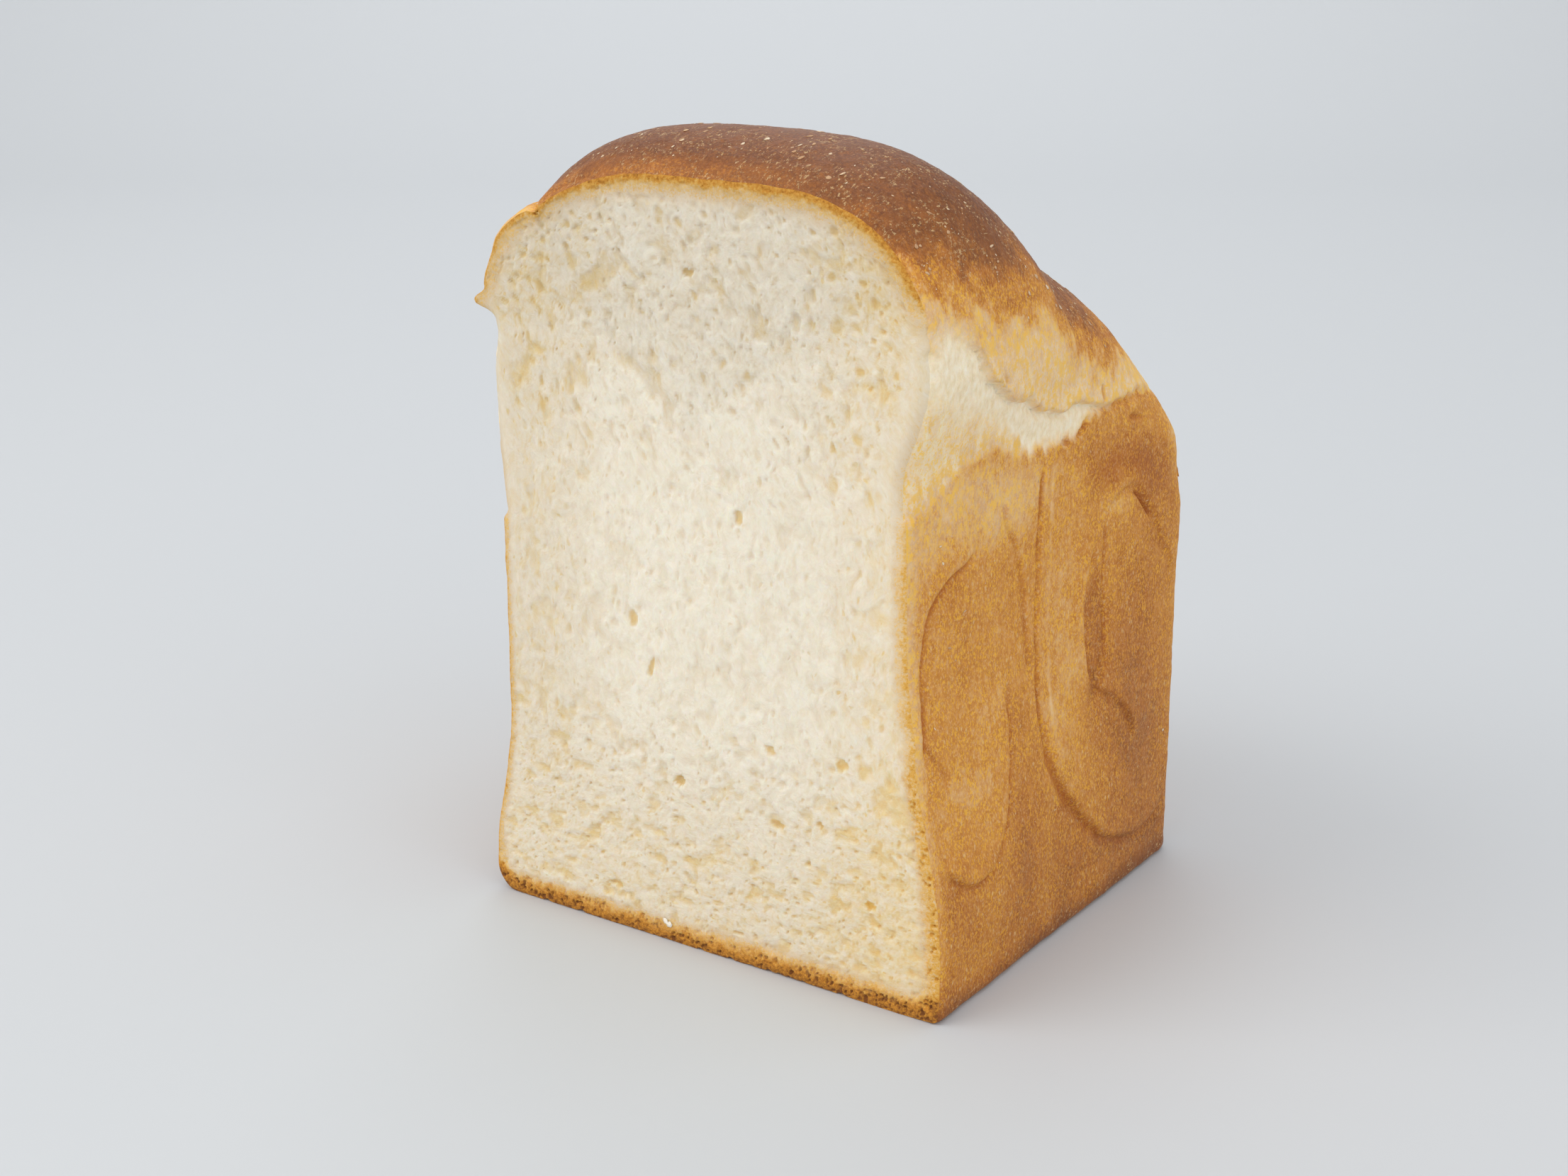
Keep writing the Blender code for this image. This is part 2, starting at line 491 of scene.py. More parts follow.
        radius = mix(self.foot_left, self.foot_right, smooth_step(box_x, -30.0, 30.0))
        near_side = np.clip((np.abs(box_x) - (self.half_width - radius)) / radius, 0.0, 1.0)
        near_end = np.clip((box_y - (self.length - radius)) / radius, 0.0, 1.0)
        outwards = np.maximum(near_side, near_end)
        downwards = np.maximum(radius - z, 0.0) / radius
        shrink = self._square_to_round(outwards, downwards)
        length = np.maximum(np.hypot(over_x, over_y), 1e-9)
        in_corner = (over_x > 0.0) & (over_y > 0.0)
        side_share = np.where(in_corner, over_x / length, near_side >= near_end)
        end_share = np.where(in_corner, over_y / length, near_side < near_end)
        pull = np.where(downwards > 0.0, radius * outwards * (1.0 - shrink), 0.0)
        z = np.where(downwards > 0.0, radius - downwards * shrink * radius, z)
        return x - side_way * pull * side_share, y - pull * end_share, z

    @staticmethod
    def _square_to_round(first: Array, second: Array) -> Array:
        """The larger of two shares over the length of both, or 1 where both are 0."""
        length = np.hypot(first, second)
        return np.where(length > 1e-9, np.maximum(first, second) / np.maximum(length, 1e-9), 1.0)

    def _dented(self, x: Array, y: Array, z: Array) -> Array:
        """Pulls the walls in by their dents, which fade towards the end wall."""
        fade = 1.0 - np.clip(y / self.length, 0.0, 1.0) ** self.dent_fade
        dent = np.where(x > 0.0, self.right_dent.at(z), self.left_dent.at(z)) * fade
        return x - np.sign(x) * np.clip(np.abs(x) / self.half_width, 0.0, 1.0) * dent


# ---- The crust's relief and bake ----


@dataclass(frozen=True)
class Crease:
    """A fold line on a wall, drawn through a few places (Y, Z)."""

    places: Line
    depth: float
    width: float
    step: float = 0.0  # how much higher the left of the line's way stands than its right
    shade: float = 0.5  # how much darker the line is painted, mostly as painted shade in its groove; below 0 it is paler
    reach: float = 7.0
    curve: Array = field(init=False, repr=False, compare=False)

    def __post_init__(self) -> None:
        """Works out the smooth curve once."""
        object.__setattr__(self, "curve", curve_through(self.places))

    def relief(self, y: Array, z: Array) -> tuple[Array, Array]:
        """The line's relief: a groove of bell section, at the foot of a step.

        The step's high side climbs steeply to a rounded lip and dies away over its reach. Its low side gets
        painted shade close to the groove, and the lip's edge a painted highlight.

        Args:
            y: the points' Y.
            z: the points' Z.

        Returns:
            The height to add, and how much darker the points are painted, mostly as painted shade.
        """
        distance, signed, share = beside_curve(self.curve, y, z)
        ends = smooth_step(share, 0.0, 0.15) * smooth_step(share, 1.0, 0.85)
        high = signed if self.step >= 0.0 else -signed
        over = np.maximum(high, 0.0)
        lip = (1.0 - np.exp(-over / self.width)) * np.exp(-over / self.reach)
        foot = bell(high + 0.3 * self.width, self.width)
        low_side = smooth_step(high, self.width, -self.width)
        soft = bell(np.minimum(high, 0.0), 0.5 * self.reach) * low_side
        ridge = bell(high - 1.6 * self.width, 0.9 * self.width)
        height = abs(self.step) * lip - self.depth * foot - 0.25 * abs(self.step) * soft
        strength = np.clip(0.85 + 0.8 * Chance(33).smooth([y, z], 8.0, 2), 0.1, 1.3)
        # painted shade in the groove and on its low side, and a painted highlight on the lip's edge
        dark = self.shade * strength * (foot + (0.45 * soft - 0.25 * ridge if self.step else 0.0))
        return height * ends, dark * ends


@dataclass(frozen=True)
class Patch:
    """An oval area of a wall that is raised or sunk, and darker or paler than the rest."""

    y: float
    z: float
    half_length: float
    half_height: float
    height: float = 0.0
    bake: float = 0.0
    tilt: float = 0.0  # Z gained for each millimetre along
    edge: float = 0.45  # share of the oval over which it fades

    def share(self, y: Array, z: Array) -> Array:
        """1 inside the oval, falling to 0 over its edge.

        Args:
            y: the points' Y.
            z: the points' Z.

        Returns:
            The share.
        """
        along = y - self.y
        up = z - self.z - self.tilt * along
        radius = np.hypot(along / self.half_length, up / self.half_height)
        return smooth_step(radius, 1.0 + self.edge, 1.0 - self.edge)


@dataclass(frozen=True)
class BreakLine:
    """Where a dome tore away from the wall as it rose: three lines that run along the loaf, as (Y, Z).

    The dome's crust ends at the first. White strands show from there down to the second, and a thin pale
    skin from there to the third, where the wall's golden crust starts.
    """

    dome_edge: Line
    strands_end: Line
    wall_edge: Line
    white_until: tuple[float, float]

    def levels(self, y: Array) -> tuple[Array, Array, Array]:
        """Heights of the three lines at Y, read off their smooth curves.

        Args:
            y: the points' Y.

        Returns:
            The three heights.
        """
        heights = []
        for places in (self.dome_edge, self.strands_end, self.wall_edge):
            curve = curve_through(places)
            heights.append(np.interp(y, curve[:, 0], curve[:, 1]))
        return heights[0], heights[1], heights[2]

    def whiteness(self, y: Array) -> Array:
        """How white the strands are: 1 at the cut, fading out along the loaf."""
        return smooth_step(y, self.white_until[1], self.white_until[0])


@dataclass(frozen=True)
class CrustSurface:
    """What the crust's points get: their height, and the fields that the finish reads."""

    height: Array
    bake: Array
    torn: Array
    crease_shade_and_tint: Array

    @property
    def crustiness(self) -> Array:
        """1 where a whole golden crust meets the cut, and 0 where it is torn or only a pale skin."""
        return smooth_step(self.bake, 0.24, 0.48) * (1.0 - self.torn)


@dataclass(frozen=True)
class TornBand:
    """How the crust's points lie to the torn band under the domes' edge."""

    over_edge: Array  # height over the dome's edge
    over_wall: Array  # height over the line where the wall's golden crust starts
    under_dome: Array  # 1 under the dome's edge and 0 over it
    torn: Array  # 1 in the white strands
    skin: Array  # 1 from the dome's edge down to the golden crust
    whiteness: Array  # 1 where the strands are white, fading out along the loaf

    @property
    def near_edge(self) -> Array:
        """1 at the dome's edge, dying away above and below it."""
        return bell(self.over_edge, 13.0)


@dataclass
class CrustPoints:
    """The crust's points, with the relief, the bake, and the creases' painted shade and tint that they have
    so far.
    """

    x: Array
    y: Array
    z: Array
    height: Array = field(init=False)
    bake: Array = field(init=False)
    crease_shade_and_tint: Array = field(init=False)

    def __post_init__(self) -> None:
        """Starts the relief, the bake, and the creases' painted shade and tint at 0."""
        self.height, self.bake, self.crease_shade_and_tint = (np.zeros(len(self.x)) for _ in range(3))

    def lumps(self, seed: int, size: float, octaves: int = 1) -> Array:
        """Smooth noise that is alike in all directions."""
        return Chance(seed).smooth([self.x, self.y, self.z], size, octaves)

    def strands(self, seed: int, sizes: list[float], octaves: int = 1, share_of_x: float = 0.4) -> Array:
        """Smooth noise that runs up the torn band and leans with it."""
        return Chance(seed).smooth([self.x * share_of_x, self.lean, self.z], sizes, octaves)

    @cached_property
    def lean(self) -> Array:
        """Y moved with height, so that strands lean towards the front dome's top."""
        return self.y + 0.30 * (self.z - 120.0) * smooth_step(self.y, 60.0, 20.0)

    @cached_property
    def wander(self) -> tuple[Array, Array]:
        """Y and Z bent a little, so that drawn lines wander."""
        places = [self.y, self.z]
        bent_y = self.y + 0.5 * Chance(31).smooth(places, 6.0, 2)
        return bent_y, self.z + 0.7 * Chance(32).smooth(places, 6.0, 2)

    @cached_property
    def ragged(self) -> Array:
        """How far the torn band's lines stray up and down."""
        return 1.3 * self.lumps(41, 6.0, 2) + 0.9 * self.lumps(42, 1.6, 2)

    @cached_property
    def tone(self) -> Array:
        """Broad clouds of darker and paler bake."""
        return 0.16 * self.lumps(61, 16.0, 3)

    @cached_property
    def on_right(self) -> Array:
        """1 on the right wall."""
        return smooth_step(self.x, 38.0, 48.0)

    @cached_property
    def on_left(self) -> Array:
        """1 on the left wall."""
        return smooth_step(self.x, -38.0, -48.0)

    @property
    def on_side(self) -> Array:
        """1 on either long wall."""
        return np.maximum(self.on_right, self.on_left)

    @cached_property
    def near_cut(self) -> Array:
        """1 close behind the cut."""
        return smooth_step(self.y, 22.0, 6.0)

    @property
    def sharp(self) -> Array:
        """1 where the dome's edge is sharp: well behind the cut and before the end wall."""
        return (1.0 - self.near_cut) * smooth_step(self.y, 104.0, 84.0)


@dataclass(frozen=True)
class CrustRelief:
    """The crust's folds, torn strands and blisters, and its bake, from 0 for white to 1 for dark brown."""

    form: LoafForm
    skin_pale: float = 0.13
    dome_pale: float = 0.22
    wall_golden: float = 0.50
    foot_brown: float = 0.68
    dome_brown: float = 0.92
    right_break: BreakLine = BreakLine(
        dome_edge=(
            (0, 141), (9, 141.5), (15, 139.5), (20, 133), (27, 128), (40, 122.5), (49, 119),
            (60, 119.5), (70, 117), (88, 117), (112, 113),
        ),
        strands_end=(
            (0, 129), (10, 127), (20, 124), (30, 120), (37, 116), (42, 112), (46, 113.5), (56, 112),
            (64, 115.5), (80, 115.5), (112, 111),
        ),
        wall_edge=(
            (0, 105), (8, 108.5), (18, 113.5), (28, 115), (36, 112.5), (46, 111.5), (60, 112.5),
            (72, 116.0), (88, 116.3), (112, 112.5),
        ),
        white_until=(66.0, 78.0),
    )
    left_break: BreakLine = BreakLine(
        dome_edge=((0, 138.5), (14, 137), (34, 127), (60, 119), (84, 118), (112, 112)),
        strands_end=((0, 113), (18, 112.5), (40, 113), (60, 113), (84, 115), (112, 110)),
        wall_edge=((0, 91), (12, 94), (30, 103), (60, 109), (84, 113), (112, 108)),
        white_until=(46.0, 74.0),
    )
    brown_from: Line = ((0, 139), (12, 138), (20, 135), (45, 131), (60, 119), (84, 116), (112, 107))
    right_creases: tuple[Crease, ...] = (
        # the front roll's end: round the oval, and the fold that tucks into it
        Crease(
            ((24, 96), (19, 93.2), (12, 90.3), (6.8, 84.5), (4.2, 74), (3.2, 62), (3.6, 56)),
            depth=0.40, width=0.8, step=-1.0, shade=0.7,
        ),
        Crease(
            ((2.8, 60), (5.2, 57), (8.0, 53.5), (9.5, 49)),
            depth=0.3, width=0.8, step=0.4, shade=0.3, reach=3.0,
        ),
        Crease(
            ((4, 33), (9, 28.3), (16, 26.0), (23, 28.0), (30, 37), (33, 50), (34, 68)),
            depth=0.45, width=0.9, step=1.3, shade=0.7, reach=5.0,
        ),
        # the seam between the rolls
        Crease(
            ((47.8, 112), (47, 98), (46.8, 84), (46, 70), (46.2, 54), (48.5, 42)),
            depth=0.9, width=0.5, step=0.5, shade=0.9, reach=2.5,
        ),
        Crease(
            ((32, 109), (34, 99), (38.5, 92), (41, 82), (42.4, 70), (43.6, 61)),
            depth=0.2, width=0.6, step=0.7, shade=0.3, reach=3.0,
        ),
        Crease(
            ((51.5, 112), (51, 98), (51.4, 84), (50.5, 70), (51, 54), (54, 38)),
            depth=0.0, width=0.6, shade=-0.9,
        ),
        # the back roll's end: its outer fold, the pocket's edges, the hook and the slit
        Crease(
            ((47, 52), (49, 42), (55, 33), (65, 21.5), (76, 14.3), (88, 10.8), (98, 12), (105, 17)),
            depth=0.5, width=1.1, step=1.4, shade=0.6,
        ),
        Crease(
            ((69, 87), (65.8, 79), (65, 69), (66.5, 59), (71.5, 51.5)),
            depth=0.4, width=0.7, step=-1.1, shade=0.6, reach=4.0,
        ),
        Crease(
            ((72.4, 91), (72.2, 80), (73, 66), (74, 53)),
            depth=0.4, width=0.5, step=-0.7, shade=0.5, reach=4.0,
        ),
        Crease(
            ((69, 54), (71.5, 51.5), (75, 49.5), (80, 46), (84.5, 40.5), (86.5, 35)),
            depth=0.3, width=0.9, step=1.0, shade=0.35, reach=4.0,
        ),
        Crease(((83, 95.6), (87.5, 92.5), (92, 87.6)), depth=1.1, width=0.36, shade=1.0),
        # a broad darker arch round the back roll's end
        Crease(
            ((62, 97), (71, 102.6), (82, 103.6), (93, 99), (100.5, 90), (104, 76)),
            depth=0.0, width=5.2, shade=0.55,
        ),
        Crease(
            ((72, 91), (77, 95.5), (84, 96.4), (90, 91), (96, 82.5), (101, 75.5), (106, 70)),
            depth=0.2, width=0.9, step=0.7, shade=0.2,
        ),
    )
    left_creases: tuple[Crease, ...] = (
        Crease(
            ((34, 88), (24, 96), (13, 93), (7, 80), (5.5, 62), (9, 44), (18, 35), (29, 41)),
            depth=0.3, width=1.2, step=1.1, shade=0.4,
        ),
        Crease(
            ((44, 104), (46.5, 88), (44.5, 70), (46, 50), (43, 32)),
            depth=0.5, width=0.7, step=0.4, shade=0.4, reach=3.0,
        ),
        Crease(
            ((52, 76), (59, 89), (72, 96), (88, 90), (97, 70), (95, 44), (82, 26), (66, 25)),
            depth=0.35, width=1.3, step=-1.2, shade=0.45,
        ),
        Crease(
            ((67, 66), (73, 77), (81, 72), (83, 56), (77, 45)),
            depth=0.3, width=1.1, step=-0.8, shade=0.3, reach=4.0,
        ),
    )
    right_patches: tuple[Patch, ...] = (
        Patch(19.5, 60, 13.5, 31, height=0.9),
        Patch(69.3, 65, 3.8, 14.5, height=-0.8, bake=0.14, edge=0.3),
        Patch(88, 60, 13, 34, height=0.9, bake=0.07, edge=0.6),
        Patch(84, 101.5, 16, 6.5, bake=0.10, tilt=-0.25, edge=0.9),
        Patch(107, 106, 5.5, 9, bake=-0.18, edge=0.7),
        Patch(102, 86, 5, 16, bake=0.02, edge=0.7),
        Patch(24, 104, 25, 8, bake=-0.12, edge=0.6),
        Patch(82, 40, 14, 30, bake=0.06, edge=0.6),
        Patch(79, 95, 7, 4.5, height=0.4, bake=-0.14, edge=0.8),
        Patch(57, 62, 8, 36, bake=-0.04, edge=0.7),
        Patch(76, 26, 20, 8, bake=-0.06, tilt=-0.4, edge=0.7),
        Patch(18, 46, 12, 16, bake=-0.01, edge=0.8),
        Patch(39, 34, 7, 26, bake=0.10, edge=0.8),
        Patch(9, 22, 9, 12, bake=0.07, edge=0.8),
        Patch(56, 20, 8, 14, height=-0.6, bake=0.09, edge=0.7),
        Patch(101, 30, 10, 30, bake=0.03, edge=0.8),
    )
    # small tears under the domes' edge; their bake values are painted shade in the tears' hollows
    tears: tuple[Patch, ...] = (
        Patch(69.5, 119.6, 0.8, 1.8, height=-1.0, bake=0.8, tilt=-0.3),
        Patch(63.0, 113.4, 2.6, 0.7, height=-0.9, bake=0.6, tilt=0.55),
        Patch(56.0, 111.4, 1.0, 0.8, height=-0.6, bake=0.5),
        Patch(85.0, 111.6, 2.4, 0.8, height=-0.8, bake=0.5, tilt=-0.2),
        Patch(42.5, 121.5, 1.1, 1.3, height=-0.7, bake=0.4, tilt=-0.5),
        Patch(27.0, 130.5, 1.4, 1.0, height=-0.6, bake=0.4, tilt=-0.6),
    )
    # how far the left shoulder stands out at the cut, for heights: the strip of crust with which the dome
    # hung over the tin, a notch, and the dome's own edge
    left_shoulder: Line = (
        (134.0, 0.0), (139.0, 0.7), (146.0, 0.5), (152.0, 0.7), (154.5, 0.3), (157.0, -0.6),
        (160.2, -1.7), (161.4, -3.3), (162.4, -2.7), (166.0, -2.0), (170.0, -1.2), (176.0, -0.6),
    )
    left_patches: tuple[Patch, ...] = (
        Patch(19, 66, 12, 28, height=0.9, bake=-0.04),
        Patch(76, 60, 17, 34, height=0.9),
        Patch(76, 62, 6, 14, height=-0.8, bake=0.14),
        Patch(92, 96, 18, 8, bake=0.22, edge=0.7),
        Patch(50, 24, 10, 16, height=-0.5, bake=0.08, edge=0.7),
    )

    def surface(self, points: Array) -> CrustSurface:
        """Works out the relief and the bake at points of the plain form.

        Args:
            points: the points, X, Y and Z in the last axis.

        Returns:
            The height to add along the normal, and the fields for the finish.
        """
        at = CrustPoints(points[:, 0], points[:, 1], points[:, 2])
        self._fold(at)
        band = self._band(at)
        self._draw_out(at, band)
        self._cut_off(at, band)
        self._set_bake(at, band)
        torn = self._left_lip(at, band)
        self._fade_to_cut(at)
        self._lump(at)
        return CrustSurface(at.height, at.bake, np.clip(torn, 0.0, 1.0), np.clip(at.crease_shade_and_tint, -1.0, 1.0))

    def _fold(self, at: CrustPoints) -> None:
        """Adds the folds of the rolls' ends, and the raised, sunken, darker and paler areas between them.

        Args:
            at: the crust's points.
        """
        before_end = smooth_step(at.y, self.form.length - 1.5, self.form.length - 9.0)
        for share, creases, patches in (
            (at.on_right, self.right_creases, self.right_patches),
            (at.on_left, self.left_creases, self.left_patches),
        ):
            on_wall = share * before_end * smooth_step(at.z, 118.0, 108.0)
            for line in creases:
                # each crease adds its painted shade, and its paler or darker tint, to the crust's points
                rise, shade = line.relief(*at.wander)
                at.height += rise * on_wall
                at.crease_shade_and_tint += shade * on_wall
            for patch in patches:
                inside = patch.share(*at.wander) * share
                at.height += patch.height * inside * on_wall
                at.bake += patch.bake * inside

    def _band(self, at: CrustPoints) -> TornBand:
        """Finds the torn band between its ragged lines, with tongues of white that reach down from it.

        Args:
            at: the crust's points.

        Returns:
            The band.
        """
        rightness = smooth_step(at.x, -25.0, 25.0)
        levels = zip(self.left_break.levels(at.y), self.right_break.levels(at.y))
        dome_edge, strands_end, wall_edge = (mix(left, right, rightness) for left, right in levels)
        whiteness = mix(self.left_break.whiteness(at.y), self.right_break.whiteness(at.y), rightness)
        over_edge = at.z - dome_edge + at.ragged * (1.0 + 1.5 * at.near_cut)
        over_strands = at.z - strands_end + at.ragged + 2.6 * at.strands(43, [3.0, 3.0, 14.0], 3)
        over_wall = at.z - wall_edge + at.ragged
        edge_reach = mix(1.0, 4.5, at.near_cut)
        under_dome = smooth_step(over_edge, edge_reach, -edge_reach)
        strand_reach = mix(1.6, 6.5, smooth_step(at.y, 38.0, 20.0))
        torn = under_dome * smooth_step(over_strands, -strand_reach, strand_reach) * whiteness
        skin = under_dome * smooth_step(over_wall, -0.8, 1.2)
        return TornBand(over_edge, over_wall, under_dome, torn, skin, whiteness)

    @staticmethod
    def _draw_out(at: CrustPoints, band: TornBand) -> None:
        """Adds the drawn-out strands, the dome's edge that hangs over them, and the groove under it.

        Args:
            at: the crust's points.
            band: the torn band.
        """
        fibre = np.clip(band.torn + 0.4 * band.skin + 0.14 * band.near_edge, 0.0, 1.0)
        strands = 0.22 * at.strands(51, [1.1, 1.1, 7.0], 2) + 0.10 * at.strands(52, [0.55, 0.55, 4.0])
        at.height += fibre * (strands + 0.24 * at.lumps(53, 2.4, 3))
        at.height -= 0.35 * band.skin * (1.0 - band.torn)
        overhang = bell(np.maximum(band.over_edge, 0.0), 3.2) * smooth_step(band.over_edge, -0.7, 0.5)
        at.height += overhang * mix(0.35, 0.8, band.whiteness) * at.sharp - band.torn * 0.7
        groove = bell(band.over_edge + 0.9, 0.9) * (0.4 + 0.6 * smooth_step(at.y, 100.0, 92.0))
        at.height -= 0.7 * groove * at.sharp

    def _cut_off(self, at: CrustPoints, band: TornBand) -> None:
        """Rounds the crust over to the cut, most of all where it is bare, and chips and tears it, with
        painted shade in the tears.

        Args:
            at: the crust's points.
            band: the torn band.
        """
        bare = np.clip(band.torn + 0.8 * band.skin, 0.0, 1.0)
        at.height -= 1.2 * np.clip(1.0 - at.y / 4.0, 0.0, 1.0) ** 2 * bare
        at.height -= 0.45 * np.clip(1.0 - at.y / 1.8, 0.0, 1.0) ** 2 * (1.0 - bare)
        chips = Chance(66).spots((at.x - at.z) / 3.1, (at.x + at.z) / 3.1, -0.2, 0.6)
        at.height -= 0.9 * chips * smooth_step(at.y, 2.2, 0.0) * smooth_step(at.z, 9.0, 3.0)
        # painted shade in the tears' hollows
        for tear in self.tears:
            inside = tear.share(*at.wander) * at.on_side
            at.height += tear.height * inside
            at.crease_shade_and_tint += tear.bake * inside

    def _set_bake(self, at: CrustPoints, band: TornBand) -> None:
        """Sets the bake: domes that darken upwards from their edge, golden walls, and pale skin between.
        Painted shade darkens the walls towards the foot, and the groove under the domes' edge.

        Args:
            at: the crust's points.
            band: the torn band.
        """
        brown_curve = curve_through(self.brown_from)
        brown_height = np.interp(at.y, brown_curve[:, 0], brown_curve[:, 1])
        over_brown = at.z - brown_height + 30.0 * at.tone + 6.0 * at.strands(63, [3.0, 3.0, 3.6], 3, 0.5)
        dome = mix(self.dome_pale, self.dome_brown, smooth_step(over_brown, 0.0, 29.0))
        dome = mix(dome, 1.0, smooth_step(over_brown, 22.0, 42.0))
        wall = self.wall_golden + at.bake + 0.5 * at.tone
        # darker towards the foot as painted shade, where the lower wall gets less light, and darker towards
        # the end wall
        wall = wall + 0.12 * smooth_step(at.z, 50.0, 5.0) + 0.06 * smooth_step(at.y, 45.0, 90.0)
        # darker still at the foot's edge: a browner bake, and painted shade next to the floor
        wall = wall + 0.20 * smooth_step(at.z, 7.0, 0.5)
        skin = self.skin_pale + 0.3 * at.tone + 0.14 * at.strands(64, [2.0, 2.0, 6.0], 3, 1.0)
        skin = skin + 0.12 * smooth_step(band.over_wall, 6.0, 1.0)
        at.bake = mix(mix(wall, skin, band.skin), dome, 1.0 - band.under_dome)
        streaks = at.strands(62, [1.1, 1.1, 2.6], 3)
        at.bake += 0.11 * streaks * np.clip(band.near_edge + 0.3 * band.skin, 0.0, 1.0)
        # painted shadow in the groove under the dome's overhanging edge
        at.crease_shade_and_tint += 0.5 * bell(band.over_edge + 0.3, 0.9) * smooth_step(at.ragged, -0.6, 1.2) * at.sharp

    def _left_lip(self, at: CrustPoints, band: TornBand) -> Array:
        """Adds the left lip, where the dome hung over the tin's rim, and the whole crust in a strip over it.

        Args:
            at: the crust's points.
            band: the torn band.

        Returns:
            How torn each point is, with the strip left whole.
        """
        y, z = at.y, at.z
        under_lip = smooth_step(z, 137.2, 135.8) * smooth_step(z, 122.0, 134.0)
        hang = smooth_step(z, 135.8, 137.2) * bell(np.maximum(z - 137.2, 0.0), 9.0)
        hang = hang * smooth_step(y, 30.0, 4.0)
        flap = smooth_step(z, 136.2, 137.4) * bell(np.maximum(z - 137.4, 0.0), 1.9)
        flap = flap * smooth_step(y, 7.0, 0.5)
        lip = 1.1 * hang + 3.6 * flap - 1.0 * under_lip * smooth_step(y, 20.0, 4.0)
        at.height += at.on_left * lip * (1.0 + 0.5 * Chance(65).smooth([y, z], 5.0, 2))
        profile = np.array(self.left_shoulder)
        stands_out = np.interp(z, profile[:, 0], profile[:, 1])
        at.height += stands_out * smooth_step(at.x, -8.0, -36.0) * smooth_step(y, 32.0, 3.0)
        strip = smooth_step(at.x, -38.0, -43.0) * smooth_step(z, 162.2, 160.6) * smooth_step(z, 133.0, 137.0)
        strip = strip * smooth_step(y, 16.0, 4.0)
        at.bake = mix(at.bake, 0.46, 0.9 * strip)
        return band.torn * (1.0 - strip)

    @staticmethod
    def _fade_to_cut(at: CrustPoints) -> None:
        """Pales the crust close to the cut: the domes' edge, most of all at the left, and a little of the
        walls'.

        Args:
            at: the crust's points.
        """
        pale_cut_edge = smooth_step(at.y + 1.4 * at.ragged, 6.5, 0.2) * smooth_step(at.bake, 0.55, 0.9)
        at.bake -= 0.19 * pale_cut_edge * smooth_step(at.x, 45.0, -5.0)
        corner = smooth_step(at.y + 0.5 * at.ragged, 4.5, 0.0) * smooth_step(at.bake, 0.75, 0.6)
        corner = corner * smooth_step(at.z, 3.0, 12.0)
        at.bake -= 0.10 * corner * smooth_step(at.bake, 0.30, 0.45)

    def _lump(self, at: CrustPoints) -> None:
        """Rounds the walls' far shoulder, adds small lumps and blisters, and keeps the foot flat.

        Args:
            at: the crust's points.
        """
        shoulder = bell(at.z - 97.0, 7.0) * smooth_step(at.y, 98.0, 108.0)
        at.height -= 1.5 * shoulder * at.on_side
        lumps = 0.35 * at.lumps(71, 22.0) + 0.16 * at.lumps(72, 5.0, 2)
        at.height += lumps + 0.09 * at.lumps(73, 1.5, 2)
        on_foot = smooth_step(at.z, 1.2, 0.2)
        at.height = np.where(on_foot > 0.0, mix(at.height, -np.abs(at.height) * 0.6, on_foot), at.height)
        at.bake = mix(at.bake, self.foot_brown + at.tone, smooth_step(at.z, 0.8, 0.1))


# ---- The crumb ----


@dataclass(frozen=True)
class Hole:
    """One of the crumb's larger holes: an oval bowl at (X, Z)."""

    x: float
    z: float
    half_width: float
    half_height: float
    depth: float
    turn: float = 0.0  # degrees anticlockwise

    def bowl(self, x: Array, z: Array) -> Array:
        """Depth of the bowl: one minus the squared distance from its centre, with a steep edge.

        Args:
            x: the points' X.
            z: the points' Z.

        Returns:
            The depth.
        """
        angle = np.radians(self.turn)
        first = ((x - self.x) * np.cos(angle) + (z - self.z) * np.sin(angle)) / self.half_width
        second = ((z - self.z) * np.cos(angle) - (x - self.x) * np.sin(angle)) / self.half_height
        return self.depth * np.clip(1.0 - first**2 - second**2, 0.0, 1.0) ** 0.4


